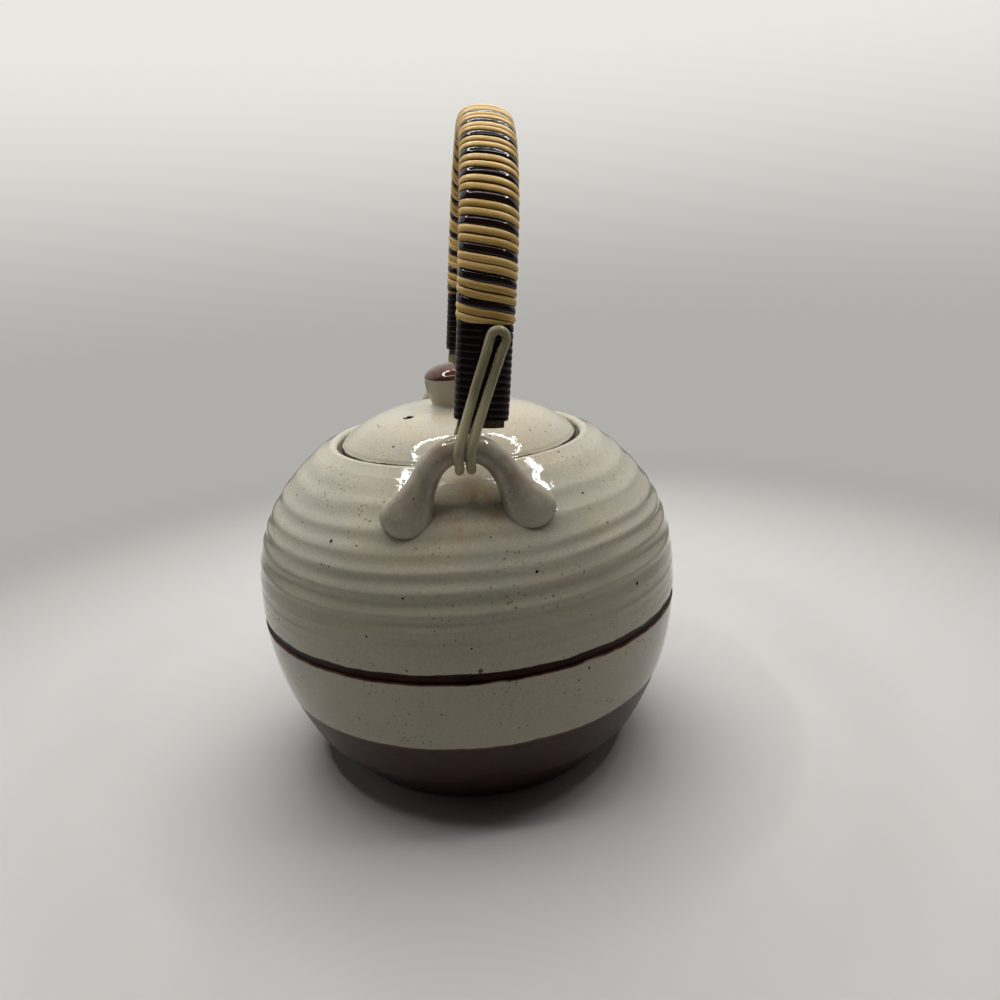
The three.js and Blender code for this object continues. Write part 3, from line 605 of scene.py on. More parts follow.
lip = arc((MOUTH_RADIUS + LIP_IN, RIM_HEIGHT - LIP_RADIUS), LIP_RADIUS, LIP_FROM_DEGREES, 180, 10)
inner = [
    (lerp(BODY_RADIUS - POT_WALL, THROAT_RADIUS, (1 - s) ** SHOULDER_POWER),
     lerp(THROAT_BOTTOM, WIDEST_HEIGHT, s))
    for s in shares(24)[1:]
]
inner_floor_radius = FOOT_RADIUS + INNER_FLOOR_IN
inner_low = [
    (lerp(BODY_RADIUS - POT_WALL, inner_floor_radius, s ** LOWER_POWER),
     lerp(WIDEST_HEIGHT, FLOOR_HEIGHT + FLOOR_CORNER, s))
    for s in shares(20)[1:]
]
floor_edge = arc(
    (inner_floor_radius - FLOOR_CORNER, FLOOR_HEIGHT + FLOOR_CORNER), FLOOR_CORNER, 0, -90, 8
)[1:]
pot_outline = (
    [(0, 0)] + foot + bevel + lower + groove + shoulder + lip
    + [(MOUTH_RADIUS, LEDGE_HEIGHT), (THROAT_RADIUS, LEDGE_HEIGHT)]
    + [(THROAT_RADIUS, THROAT_BOTTOM)] + inner + inner_low + floor_edge + [(0, FLOOR_HEIGHT)]
)
first_shoulder_row = len(foot) + len(bevel) + len(lower) + len(groove)
last_shoulder_row = first_shoulder_row + len(shoulder)
print("pot outline", len(pot_outline), "points")

# %% [markdown]
# ## The marks of the potter's hands
#
# Nothing thrown is quite round. A slow drift moves the whole wall in and out, and moves the
# rings up and down and makes them deeper and shallower. The fingertips leave finer marks
# between the rings. Noise gives all of it: read on a circle round the axis, it meets itself
# after a full turn, so there is no seam.

# %% Throw the pot
WALL_DRIFT = 0.12
RING_DRIFT = 0.5
RING_TILT = 0.25
DEPTH_DRIFT = 0.4
# Heights over which each drift changes.
WALL_DRIFT_RISE = 40
RING_DRIFT_RISE = 14
DEPTH_DRIFT_RISE = 9
# Finer marks of the fingertips between the rings: their size, and their number per mm.
FINGER_MARKS = 0.14
MARKS_PER_MM = 0.42
# The foot stays flat and round up to this height.
TRUE_FOOT = 2
# Blender's noise seldom passes 0.6, so this brings it to about 1.
NOISE_STRETCH = 1.6


def drift(turn, size, seed):
    """Slow change round the pot, between about -size and size."""
    place = Vector((2 * math.cos(turn), 2 * math.sin(turn), seed))
    return size * noise.noise(place) * NOISE_STRETCH


def shape_pot(row, radius, height, turn):
    """Moves a point of the pot's outline in or out, as the potter's fingers did."""
    uneven = drift(turn, WALL_DRIFT, height / WALL_DRIFT_RISE) - WALL_DRIFT
    if not first_shoulder_row <= row < last_shoulder_row:
        outside_wall = row < first_shoulder_row and height > TRUE_FOOT
        return radius + (uneven if outside_wall else 0)
    lifted = height + drift(turn, RING_DRIFT, height / RING_DRIFT_RISE)
    lifted -= RING_TILT * math.cos(turn)
    fingertip = Vector((math.cos(turn), math.sin(turn), height * MARKS_PER_MM))
    marks = FINGER_MARKS * noise.noise(fingertip)
    depth = hollow_at(lifted) * (1 + drift(turn, DEPTH_DRIFT, height / DEPTH_DRIFT_RISE))
    return radius - depth + uneven + marks


pot = turned("pot_body", pot_outline, SIDES_ROUND, shape_pot)

# %% Store where the glaze pools and where shade is painted
# Glaze runs into the hollows, and shade falls in them, so each outer point keeps how deep its own
# hollow is, for the thick glaze and painted shade there.
pool_and_shade = pot.data.attributes.new("pool_and_shade", "FLOAT", "POINT")
for vertex, value in zip(pot.data.vertices, pool_and_shade.data):
    place = vertex.co / MM
    radius = math.hypot(place.x, place.y)
    outside = abs(body_radius_at(place.z) - radius) < 2
    value.value = min(1, hollow_at(place.z) / DEEPEST_POOL_AND_SHADE) if outside else 0
print("pools stored at", len(pool_and_shade.data), "points")

# %% [markdown]
# ## The spout's line and its strainer
#
# The spout leaves the wall low, so that it fills first, and bends up to the height of the
# rim, so that a full pot doesn't run over. One Bezier curve with four poles is enough for
# its line. Behind it the wall isn't cut away: seven holes hold the leaves back. They are
# drilled with real round tools, because they are seen when the lid is off.

# %% The spout's line and its strainer
SPOUT_HEIGHT = 72.0
SPOUT_REACH = 28.0
SPOUT_TIP_HEIGHT = 106.0
SPOUT_ROOT_DEPTH = 12.0
SPOUT_ROOT_DROP = 4.1
# The two middle poles, as shares of the spout's reach and of its rise.
SPOUT_POLES = [(0.3, 0.12), (0.62, 0.5)]
STRAINER_HOLE_RADIUS = 2.2
STRAINER_HOLE_PITCH = 7.4
# Rows of holes: their place, counted in rows from the middle, and their number.
STRAINER_ROWS = [(-1, 2), (0, 3), (1, 2)]
# How far the drills reach to each side of the wall's middle, in thicknesses of the wall.
DRILL_REACH = 2.5


def spout_path(share):
    """The spout's centre line: out of the wall and up to the tip, as a Bezier curve."""
    wall = body_radius_at(SPOUT_HEIGHT)
    rise = SPOUT_TIP_HEIGHT - SPOUT_HEIGHT
    poles = [Vector((0, wall - SPOUT_ROOT_DEPTH, SPOUT_HEIGHT - SPOUT_ROOT_DROP))]
    for reach_share, rise_share in SPOUT_POLES + [(1, 1)]:
        out = wall + SPOUT_REACH * reach_share
        poles.append(Vector((0, out, SPOUT_HEIGHT + rise * rise_share)))
    back = 1 - share
    weights = [back ** 3, 3 * share * back ** 2, 3 * share ** 2 * back, share ** 3]
    return sum((w * p for w, p in zip(weights, poles)), Vector())


def spout_direction(share):
    """The direction of the spout's centre line, from its root towards its tip."""
    step = 0.002
    ahead = spout_path(min(1, share + step))
    return (ahead - spout_path(max(0, share - step))).normalized()


def strainer_tools():
    """Seven round tools along the spout's root, in rows of two, three and two."""
    along = spout_direction(0)
    up = Vector((1, 0, 0)).cross(along)
    middle = Vector((0, body_radius_at(SPOUT_HEIGHT) - POT_WALL / 2, SPOUT_HEIGHT))
    reach = along * DRILL_REACH * POT_WALL
    tools = []
    for row, holes in STRAINER_ROWS:
        for i in range(holes):
            centre = middle + up * row * STRAINER_HOLE_PITCH * math.sin(math.pi / 3)
            centre.x = (i - (holes - 1) / 2) * STRAINER_HOLE_PITCH
            name = f"drill_{row}_{i}"
            tools.append(drill(name, centre - reach, centre + reach, STRAINER_HOLE_RADIUS))
    return tools


cut(pot, *strainer_tools())

# %% [markdown]
# ## Where the pot is glazed
#
# The groove and the trimmed base carry no glaze: a glazed foot would stick to the kiln's
# shelf. Two materials on two parts of the mesh would meet in a hard
# line along its faces. One finish with two bare bands of height can let its edge wander and
# rust, as the real one does.

# %% Glaze the pot
# Between each lug's feet the glaze drew back.
LUG_BLUSHES = [(0.0, -56.0, 104.0), (0.0, 56.0, 104.0)]
# Each bare band: its lowest and highest place, its clay, the width of its rusty line, and
# its gleam. A band that starts below 0 holds the foot, so its line is at its upper end.
GROOVE_SPILL = 0.3
BASE_BAND = (-5.0, GLAZE_LINE, BROWN_CLAY, 0.5, BASE_GLEAM)
GROOVE_BAND = (GROOVE_LOW, GROOVE_HIGH + GROOVE_SPILL, GROOVE_CLAY, 0.3, GROOVE_GLEAM)
pot_glaze = glazed_stoneware(
    "ash_glaze_over_brown_clay", [BASE_BAND, GROOVE_BAND], LUG_BLUSHES, pooled_and_shaded=True
)
dress(pot, "vessel", pot_glaze, "glazed_stoneware", "pot")

# %% [markdown]
# ## The spout
#
# The spout is thrown apart and luted on over the strainer holes. It is a tube whose
# radius falls from root to tip, with a thin rounded lip and a small flare where wet clay
# was smoothed on to the wall. A curve with a bevel would give an open tube of one
# thickness. A looped skin of rings, up the outside, over the lip and back down the inside,
# gives a closed wall. Its root is then cut off along the pot's own outline.

# %% Spout
SPOUT_ROOT_RADIUS = 18.5
SPOUT_TIP_RADIUS = 8.2
SPOUT_WALL = 3.4
SPOUT_TAPER = 1.5
SPOUT_SIDES = 64
SPOUT_LIP_BULGE = 0.7
ROOT_FLARE = 2.0
# Where the flare is, and how wide, as shares of the spout's line.
FLARE_AT = 0.3
FLARE_WIDTH = 0.07
# How far the pieces that are luted on run into the pot's wall.
LUTED_DEPTH = 1.3
# The core that they are cut along spans every joint's height.
CORE_BOTTOM = 20
CORE_TOP = 110
CORE_SIDES = 96


def tube_ring(centre, along, side, radius_side, radius_up, around):
    """A ring of points square to a direction."""
    return ring_of(centre, side, along.cross(side), radius_side, radius_up, around)


def spout_ring(share, thinner, shift=0.0):
    """One ring of the spout's wall: outside where thinner is 0, further in where it's more."""
    along = spout_direction(share)
    flare = ROOT_FLARE * math.exp(-((share - FLARE_AT) / FLARE_WIDTH) ** 2)
    radius = lerp(SPOUT_TIP_RADIUS, SPOUT_ROOT_RADIUS, (1 - share) ** SPOUT_TAPER)
    radius = radius - thinner + (flare if thinner == 0 else 0)
    centre = spout_path(share) + along * shift
    return tube_ring(centre, along, Vector((1, 0, 0)), radius, radius, SPOUT_SIDES)


def pot_core():
    """A solid that fills the pot to a little inside its outer face, to cut with."""
    outline = [(0, CORE_BOTTOM)]
    for share in shares(60):
        height = lerp(CORE_BOTTOM, CORE_TOP, share)
        outline.append((body_radius_at(height) - LUTED_DEPTH, height))
    return turned("pot_core", outline + [(0, CORE_TOP)], CORE_SIDES)


outside_rings = [spout_ring(s, 0) for s in shares(48)]
lip_rings = []
for share in shares(8)[1:-1]:
    thinner = SPOUT_WALL / 2 * (1 - math.cos(math.pi * share))
    lip_rings.append(spout_ring(1.0, thinner, SPOUT_LIP_BULGE * math.sin(math.pi * share)))
inside_rings = [spout_ring(s, SPOUT_WALL) for s in reversed(shares(48))]
spout = skin("spout_tube", outside_rings + lip_rings + inside_rings, looped=True)
cut(spout, pot_core())
dress(spout, "vessel", glazed_stoneware("ash_glaze"), "glazed_stoneware", "spout")

# %% [markdown]
# ## The lugs
#
# The lugs are pulled by hand: a round strap bent into an arch, pressed down into two pads
# that swell and then round off. Each one runs a little way into the wall, so that the joint
# closes as wet clay does. A torus and two spheres would need blending. One strap whose
# width and depth change along it is what the potter makes, and has no joints to hide.

# %% Lugs
LUG_FOOT_HEIGHT = 100.5
LUG_CROWN_HEIGHT = 120.7
LUG_ARCH_RADIUS = 12.0
LUG_ARCH_HALF_ANGLE = math.radians(60)
LUG_ROD_RADIUS = 4.0
LUG_FOOT_SPREAD = 18.0
LUG_FOOT_HALF_WIDTH = 8.0
LUG_FOOT_HALF_DEPTH = 5.4
LUG_HEEL_LENGTH = 6.0
# The heel is rounded almost to a point, which the skin's cap closes.
LUG_HEEL_TURN = math.radians(87)
LUG_INSET = 1.2
LUG_SIDES = 40
LUG_THINNESS = 0.75
FRONT_LUG_TURN = math.radians(-3)
lug_foot_radius = body_radius_at(LUG_FOOT_HEIGHT) - LUG_INSET
LUG_DISTANCE = math.sqrt(lug_foot_radius ** 2 - LUG_FOOT_SPREAD ** 2)


def half_lug(sideways, outwards):
    """Centre, half width and half depth of a lug's strap, from its crown to one heel."""
    spring = LUG_CROWN_HEIGHT - LUG_ARCH_RADIUS
    stations = []
    for s in shares(14):
        turn = LUG_ARCH_HALF_ANGLE * s
        centre = Vector((
            sideways * LUG_ARCH_RADIUS * math.sin(turn),
            outwards * LUG_DISTANCE,
            spring + LUG_ARCH_RADIUS * math.cos(turn),
        ))
        stations.append((centre, LUG_ROD_RADIUS, LUG_ROD_RADIUS))
    arch_end = stations[-1][0]
    foot = Vector((sideways * LUG_FOOT_SPREAD, outwards * LUG_DISTANCE, LUG_FOOT_HEIGHT))
    heel = (foot - arch_end).normalized()
    for s in shares(16)[1:]:
        # From 0 to 1, late, and level at both ends.
        swell = s ** 3 * (4 - 3 * s)
        stations.append((
            arch_end.lerp(foot, s),
            lerp(LUG_ROD_RADIUS, LUG_FOOT_HALF_WIDTH, swell),
            lerp(LUG_ROD_RADIUS, LUG_FOOT_HALF_DEPTH, swell),
        ))
    for s in shares(10)[1:]:
        turn = LUG_HEEL_TURN * s
        stations.append((
            foot + heel * LUG_HEEL_LENGTH * math.sin(turn),
            LUG_FOOT_HALF_WIDTH * math.cos(turn),
            LUG_FOOT_HALF_DEPTH * math.cos(turn),
        ))
    return stations


def lug(name, outwards, turn):
    """A lug on one side of the pot, turned a little about the pot's axis."""
    stations = half_lug(-1, outwards)[::-1] + half_lug(1, outwards)[1:]
    place = Matrix.Rotation(turn, 3, "Z")
    across = Vector((0, outwards, 0))
    rings = []
    for i, (centre, width, depth) in enumerate(stations):
        before = stations[max(i - 1, 0)][0]
        after = stations[min(i + 1, len(stations) - 1)][0]
        along = (after - before).normalized()
        side = (across - along * across.dot(along)).normalized()
        ring = tube_ring(centre, along, side, depth, width, LUG_SIDES)
        rings.append([place @ p for p in ring])
    return skin(name, rings)


lug_glaze = glazed_stoneware("ash_glaze_thin_on_pulled_clay", thin=LUG_THINNESS)
for name, outwards, turn in (("back_lug", -1, 0), ("front_lug", 1, FRONT_LUG_TURN)):
    strap = lug(name + "_strap", outwards, turn)
    cut(strap, pot_core())
    dress(strap, "vessel", lug_glaze, "glazed_stoneware", name)

# %% [markdown]
# ## Lid
#
# The lid is a shallow dome that drops steeply at its rounded edge, with a flange that
# reaches down inside the mouth and one small hole for steam. Its seat is bare clay, or
# the glaze would weld it shut in the kiln. Like the pot it is one outline turned round the
# axis: a part of a sphere would be too round in the middle and too flat at the edge.

# %% Lid
LID_SEAT = 107.3
LID_EDGE_RADIUS = 39.8
LID_EDGE_TOP = 111.7
LID_RISE = 10.3
LID_WALL = 4.5
DOME_POWER = 4
# Radii of the edge's roundings, below and above.
LOWER_ROUNDING = 1.2
UPPER_ROUNDING = 1.6
UPPER_ROUNDING_DROP = 0.9
DOME_EDGE_IN = 0.9
FLANGE_OUTER = 34.8
FLANGE_INNER = 30.8
FLANGE_BOTTOM = 98.3
FLANGE_CHAMFER = 1
LID_BARE_FROM = 90.0
STEAM_HOLE_RADIUS = 1.7
STEAM_HOLE_PLACE = 19.6
STEAM_HOLE_BEARING = math.radians(215)
STEAM_DRILL_FROM = 105
STEAM_DRILL_LENGTH = 25


def dome_at(radius):
    """Height of the lid's dome: flat in the middle, steep at the edge."""
    return LID_EDGE_TOP + LID_RISE * (1 - (radius / LID_EDGE_RADIUS) ** DOME_POWER)


underside = [(FLANGE_INNER * s, dome_at(FLANGE_INNER * s) - LID_WALL) for s in shares(16)]
flange = [
    (FLANGE_INNER, FLANGE_BOTTOM + FLANGE_CHAMFER), (FLANGE_INNER + FLANGE_CHAMFER, FLANGE_BOTTOM),
    (FLANGE_OUTER - FLANGE_CHAMFER, FLANGE_BOTTOM), (FLANGE_OUTER, FLANGE_BOTTOM + FLANGE_CHAMFER),
    (FLANGE_OUTER, LID_SEAT),
]
lower_edge = arc(
    (LID_EDGE_RADIUS - LOWER_ROUNDING, LID_SEAT + LOWER_ROUNDING), LOWER_ROUNDING, -90, 0, 6
)
upper_edge = arc(
    (LID_EDGE_RADIUS - UPPER_ROUNDING, LID_EDGE_TOP - UPPER_ROUNDING_DROP), UPPER_ROUNDING, 0, 55, 8
)
# The rows lie closer together towards the edge, where the dome bends most.
dome_radii = [(LID_EDGE_RADIUS - DOME_EDGE_IN) * (1 - s) ** 0.6 for s in shares(60)]
dome = [(r, dome_at(r)) for r in dome_radii]
lid = turned("lid_dome", underside + flange + lower_edge + upper_edge + dome, SIDES_ROUND)
steam_x = STEAM_HOLE_PLACE * math.cos(STEAM_HOLE_BEARING)
steam_y = STEAM_HOLE_PLACE * math.sin(STEAM_HOLE_BEARING)
drill_foot = Vector((steam_x, steam_y, STEAM_DRILL_FROM))
drill_top = drill_foot + Vector((0, 0, STEAM_DRILL_LENGTH))
cut(lid, drill("steam_drill", drill_foot, drill_top, STEAM_HOLE_RADIUS, 32))
hole_middle = (drill_foot.x, drill_foot.y, dome_at(STEAM_HOLE_PLACE) - LID_WALL / 2)
# The seat is bare clay, and the band runs up the lid's rounded edge to its top, where its dark line
# is also painted shade of the gap round the lid.
LID_BAND = (LID_BARE_FROM, LID_EDGE_TOP, BROWN_CLAY, 0.5, BASE_GLEAM)
lid_glaze = glazed_stoneware("ash_glaze_lid", [LID_BAND], hole=hole_middle)
dress(lid, "lid", lid_glaze, "glazed_stoneware", "lid")

# %% [markdown]
# ## Knob
#
# The knob was turned with the lid and then dipped: ash glaze up to its widest line, and a
# glossy red-brown cap over it. The dip's lower edge is the only line on it, so it is a fade
# between two colours over a third of a millimetre, at a height that wanders a little. A
# glossy iron glaze has the same smooth skin as the ash glaze, so both share a roughness.

# %% Knob
KNOB_RADIUS = 10.1
KNOB_NECK_RADIUS = 8.2
KNOB_HEIGHT = 14.3
KNOB_SHOULDER = 0.69
KNOB_FILLET = 1.6
KNOB_SUNK = 0.3
# The knob's lower face lies this far under its bottom, inside the lid.
KNOB_ROOT = 0.5
FILLET_LIFT = 0.25
knob_bottom = dome_at(0) - KNOB_SUNK
shoulder_height = dome_at(0) + KNOB_HEIGHT * KNOB_SHOULDER
knob_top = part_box("lid_knob")[1].z / MM
fillet = []
for share in shares(8):
    turn = math.pi / 2 * share
    radius = KNOB_NECK_RADIUS + KNOB_FILLET * (1 - math.sin(turn))
    rise = FILLET_LIFT + KNOB_FILLET * (1 - math.cos(turn))
    fillet.append((radius, knob_bottom + rise))
swelling = []
for share in shares(20)[1:]:
    radius = lerp(KNOB_NECK_RADIUS, KNOB_RADIUS, math.sin(share * math.pi / 2))
    swelling.append((radius, lerp(knob_bottom + KNOB_FILLET, shoulder_height, share)))
cap = []
for share in shares(24)[1:]:
    turn = share * math.pi / 2
    cap.append((KNOB_RADIUS * math.cos(turn), lerp(shoulder_height, knob_top, math.sin(turn))))
cap[-1] = (0, knob_top)
root_height = knob_bottom - KNOB_ROOT
knob_foot = [(0, root_height), (KNOB_NECK_RADIUS + KNOB_FILLET, root_height)]
knob = turned("knob", knob_foot + fillet + swelling + cap, 96)

# %% Dip the knob
DIP_DARK = 0x43271B
DIP_LIGHT = 0x66402C
DIP_EDGE = 0x3A1D18
DIP_ROUGHNESS = 0.07
DIP_WANDER = 0.4
# Size of the dip's soft dimples, and their depth.
DIMPLE_SIZE = 3.0
DIMPLE_DEPTH = 0.08


def dipped_knob():
    """Ash glaze with a glossy red-brown dip over the cap."""
    material, tree, shader = new_material("dipped_knob_glaze")
    where = place_in_mm(tree)
    height = height_of(tree, where)
    wander = fade(tree, cloud(tree, where, 8.0), 0.0, 1.0, -DIP_WANDER, DIP_WANDER)
    wavy_height = math_of(tree, "ADD", height, wander)
    dip = fade(tree, wavy_height, shoulder_height + 0.1, shoulder_height + 0.4)
    cream = blend_colours(tree, cloud(tree, where, 7.0), GLAZE_COOL, GLAZE_WARM)
    mottle = fade(tree, cloud(tree, where, 2.5, 3.0), 0.3, 0.7)
    brown = blend_colours(tree, mottle, DIP_DARK, DIP_LIGHT)
    over_edge = math_of(tree, "SUBTRACT", height, shoulder_height)
    brown = blend_colours(tree, fade(tree, over_edge, 0.2, 1.6, 0.6, 0.0), brown, DIP_EDGE)
    colour = blend_colours(tree, dip, cream, brown)
    tree.links.new(colour, shader.inputs["Base Color"])
    shader.inputs["Roughness"].default_value = DIP_ROUGHNESS
    raise_surface(tree, shader, cloud(tree, where, DIMPLE_SIZE), DIMPLE_DEPTH)
    return material


dress(knob, "lid", dipped_knob(), "glazed_stoneware", "lid_knob")

# %% [markdown]
# ## The handle's line
#
# The handle is one arch in its own upright plane, which then leans and sits a little to
# one side, as its slack hooks let it. Everything on it could be modelled straight and bent
# with a modifier, but that stretches the cane outside the bend. Here every strip is placed
# by a distance along the arch's centre line, counted from the end of the back leg.

# %% The handle's line
HANDLE_LEAN = math.radians(6.2)
HANDLE_SHIFT = 5.1
HANDLE_INSET = 7.5
SPRING_HEIGHT = 42.4
BACK_LEG = 38.0
FRONT_LEG = 31.0
ARCH_RADIUS = LUG_DISTANCE - HANDLE_INSET
ARCH_LENGTH = BACK_LEG + math.pi * ARCH_RADIUS + FRONT_LEG
handle_middle = Matrix.Translation((HANDLE_SHIFT, 0, LUG_CROWN_HEIGHT))
handle_place = handle_middle @ Matrix.Rotation(HANDLE_LEAN, 4, "Y")


def arch_at(distance):
    """Centre, direction and outward direction of the handle at a distance along it."""
    if distance <= BACK_LEG:
        bottom = SPRING_HEIGHT - BACK_LEG
        return Vector((0, -ARCH_RADIUS, bottom + distance)), Vector((0, 0, 1)), Vector((0, -1, 0))
    if distance >= ARCH_LENGTH - FRONT_LEG:
        height = SPRING_HEIGHT - FRONT_LEG + ARCH_LENGTH - distance
        return Vector((0, ARCH_RADIUS, height)), Vector((0, 0, -1)), Vector((0, 1, 0))
    turn = (distance - BACK_LEG) / ARCH_RADIUS
    outwards = Vector((0, -math.cos(turn), math.sin(turn)))
    along = Vector((0, math.sin(turn), math.cos(turn)))
    return Vector((0, 0, SPRING_HEIGHT)) + ARCH_RADIUS * outwards, along, outwards


print("handle centre line", round(ARCH_LENGTH, 1), "mm")

# %% [markdown]
# ## Cane
#
# Cane is the split, flattened stem of a climbing palm. Its skin is smooth and hard, with
# fibres that run along the strip, so the grain is noise stretched twenty times along it.
# Read from the object's own axes the grain would run the same way everywhere, so each
# strip carries its own coordinates: how far along it, how far across, and how high on its
# crown. The dark strips are dyed and lacquered, which gives them a sharper gleam. The hooks
# are whole round cane, greyed by handling.


# %% Cane materials
# Fibres per millimetre along the strip and across it, and patches per millimetre.
FIBRES_ALONG = 0.12
FIBRES_ACROSS = 2.5
PATCHES_PER_MM = 0.035


def cane(name, colours, roughness, gleam, grain_relief):
    """Cane whose fibres run along the strip, between a dark and a light colour, with a
    third colour painted down its edges. A dark one there is painted shade in the gaps between
    strips. Hands back the material with its tree and shader."""
    dark_hex, light_hex, painted_edge_hex = colours
    material, tree, shader = new_material(name)
    strip = add_node(tree, "ShaderNodeAttribute", {"attribute_name": "grain"}).outputs["Vector"]
    stretched = add_node(
        tree, "ShaderNodeMapping", {"vector_type": "POINT"},
        Vector=strip, Scale=(FIBRES_ALONG, FIBRES_ACROSS, 1.0),
    ).outputs[0]
    fibres = add_node(
        tree, "ShaderNodeTexNoise", Vector=stretched, Scale=1.0, Detail=4.0, Roughness=0.6
    ).outputs[0]
    patches = add_node(
        tree, "ShaderNodeTexNoise", Vector=strip, Scale=PATCHES_PER_MM, Detail=2.0
    ).outputs[0]
    half_fibres = math_of(tree, "MULTIPLY", fibres, 0.5)
    half_patches = math_of(tree, "MULTIPLY", patches, 0.5)
    tone = fade(tree, math_of(tree, "ADD", half_fibres, half_patches), 0.35, 0.65)
    colour = blend_colours(tree, tone, dark_hex, light_hex)
    # Low on the crown, along the strip's edges, the third colour is painted in: painted shade in
    # the gaps on the pale and lacquered strips, thin light lines on the end wraps.
    edge = fade(tree, height_of(tree, strip), 0.3, 0.8, 0.9, 0.0)
    colour = blend_colours(tree, edge, colour, painted_edge_hex)
    tree.links.new(colour, shader.inputs["Base Color"])
    shader.inputs["Roughness"].default_value = roughness
    shader.inputs["Specular IOR Level"].default_value = gleam
    raise_surface(tree, shader, fibres, grain_relief)
    return material, tree, shader


# Dark and light colour of each kind of cane, and the colour painted down its edges: painted shade
# in the gaps for the pale and lacquered strips, thin light lines for the end wraps.
NATURAL_CANE = (0xBA9148, 0xE6C47D, 0x543A1C)
LACQUERED_CANE = (0x140B0A, 0x261512, 0x0C0605)
WRAP_CANE = (0x0E0807, 0x1C100D, 0x86705E)
natural_cane = cane("natural_cane_skin", NATURAL_CANE, 0.34, 0.35, 0.04)[0]
dark_cane = cane("dyed_lacquered_cane", LACQUERED_CANE, 0.09, 0.5, 0.012)[0]
wrap_cane = cane("dyed_end_wrap_cane", WRAP_CANE, 0.22, 0.2, 0.02)[0]

# %% [markdown]
# ## Cane wound round the handle
#
# Three strips are wound side by side, so that one turn shows two pale strips and a dark
# one. Rings round the handle would look alike from a step away, but cane is never cut into
# rings: each strip here is one unbroken helix over an oval, as it is on the real handle. Its
# section is flat at the back and crowned in front, and its ends grow out of a sliver, where
# the strip comes out from under the end wrap.

# %% Cane wound round the handle
WIND_HALF_WIDTH = 7.55
WIND_HALF_THICKNESS = 4.25
WIND_ROUNDNESS = 2.4
STEPS_PER_TURN = 44
# Width of the sliver that a strip starts and ends with.
LEAST_END = 0.2
# Height of a strip's edge, as a share of its thickness.
EDGE_SHARE = 0.12
# How far a strip's back sinks into the core, so that no gap shows under it.
BACK_SUNK = 0.2
# Share by which a strip's thickness varies.
THICKNESS_DRIFT = 0.1


def oval_at(share):
    """A place on the oval that the cane lies on, and its outward direction."""
    turn = FULL_TURN * share
    power = 2 / WIND_ROUNDNESS
    c, s = math.cos(turn), math.sin(turn)
    across = WIND_HALF_WIDTH * math.copysign(abs(c) ** power, c)
    out = WIND_HALF_THICKNESS * math.copysign(abs(s) ** power, s)
    lean = Vector((
        math.copysign(abs(c) ** (2 - power), c) / WIND_HALF_WIDTH,
        math.copysign(abs(s) ** (2 - power), s) / WIND_HALF_THICKNESS,
    )).normalized()
    return across, out, lean


def strip_section(width, thick, flatness, steps=11):
    """A flat back and a crowned face, as (across, high). The lower its flatness, from 1
    down, the flatter its crown and the sharper the turn to its edges."""
    face = []
    for s in shares(steps):
        turn = math.pi * s
        crown = math.sin(turn) ** flatness
        face.append((width / 2 * math.cos(turn), thick * lerp(EDGE_SHARE, 1, crown)))
    return [(width / 2, -BACK_SUNK)] + face + [(-width / 2, -BACK_SUNK)]


def wind(name, phase, pitch, low, high, width, thick, flatness, sway, seed):
    """One strip of cane wound round the handle between two distances along it. Its ends
    grow out of those limits, as where a strip comes out from under its neighbour."""
    section = strip_section(width, thick, flatness)
    first = (low - phase - width / 2 + LEAST_END) / pitch
    last = (high - phase + width / 2 - LEAST_END) / pitch
    rings = []
    grain = []
    length = 0.0
    before = None
    for share in shares(round((last - first) * STEPS_PER_TURN)):
        turn = lerp(first, last, share)
        across, out, lean = oval_at(turn)
        middle = phase + pitch * turn
        left = max(-width / 2, low - middle)
        right = min(width / 2, high - middle)
        shown = (right - left) / width
        distance = middle + sway * shown * noise.noise(Vector((turn * 1.7, seed, 0.3)))
        centre, along, outwards = arch_at(distance)
        normal = Vector((lean.x, 0, 0)) + outwards * lean.y
        base = centre + Vector((across, 0, 0)) + outwards * out
        if before is not None:
            length += (base - before).length
        before = base
        uneven = THICKNESS_DRIFT * noise.noise(Vector((turn * 2.3, seed, 7.1)))
        swell = shown ** 0.5 * (1 + uneven)
        for side, up in section:
            beside = left + (side + width / 2) * shown
            rings.append(handle_place @ (base + normal * up * swell + along * beside))
            grain.append((length, side + 10 * seed, up / thick))
    around = len(section)
    strip = skin(name, [rings[i:i + around] for i in range(0, len(rings), around)])
    store_grain(strip, grain)
    return strip


def store_grain(piece, grain):
    """Stores each point's distance along and across its strip, for the fibres, and its
    height as a share of the strip's thickness, for the colour painted down the edges."""
    attribute = piece.data.attributes.new("grain", "FLOAT_VECTOR", "POINT")
    grain = grain + [grain[0], grain[-1]]
    for value, place in zip(attribute.data, grain):
        value.vector = place


# %% Wind the grip
PATTERN_FROM = 29.2
PATTERN_PITCH = 6.8
FRONT_WRAP_LENGTH = 23.0
PATTERN_TO = ARCH_LENGTH - FRONT_WRAP_LENGTH
# Each strip: its CAD node, material and slot, width, thickness, flatness and sway.
STRIPS = [
    ("first_natural_strip", natural_cane, "natural_cane", 2.3, 0.86, 0.85, 0.3),
    ("dark_strip", dark_cane, "dark_cane", 2.25, 0.75, 0.6, 0.1),
    ("second_natural_strip", natural_cane, "natural_cane", 2.3, 0.86, 0.85, 0.3),
]
for i, (node, material, slot, width, thick, flatness, sway) in enumerate(STRIPS):
    phase = PATTERN_FROM + width / 2 + i * PATTERN_PITCH / len(STRIPS)
    strip = wind(
        node + "_wound", phase, PATTERN_PITCH, PATTERN_FROM, PATTERN_TO,
        width, thick, flatness, sway, i + 1.0,
    )
    dress(strip, "handle", material, slot, node)

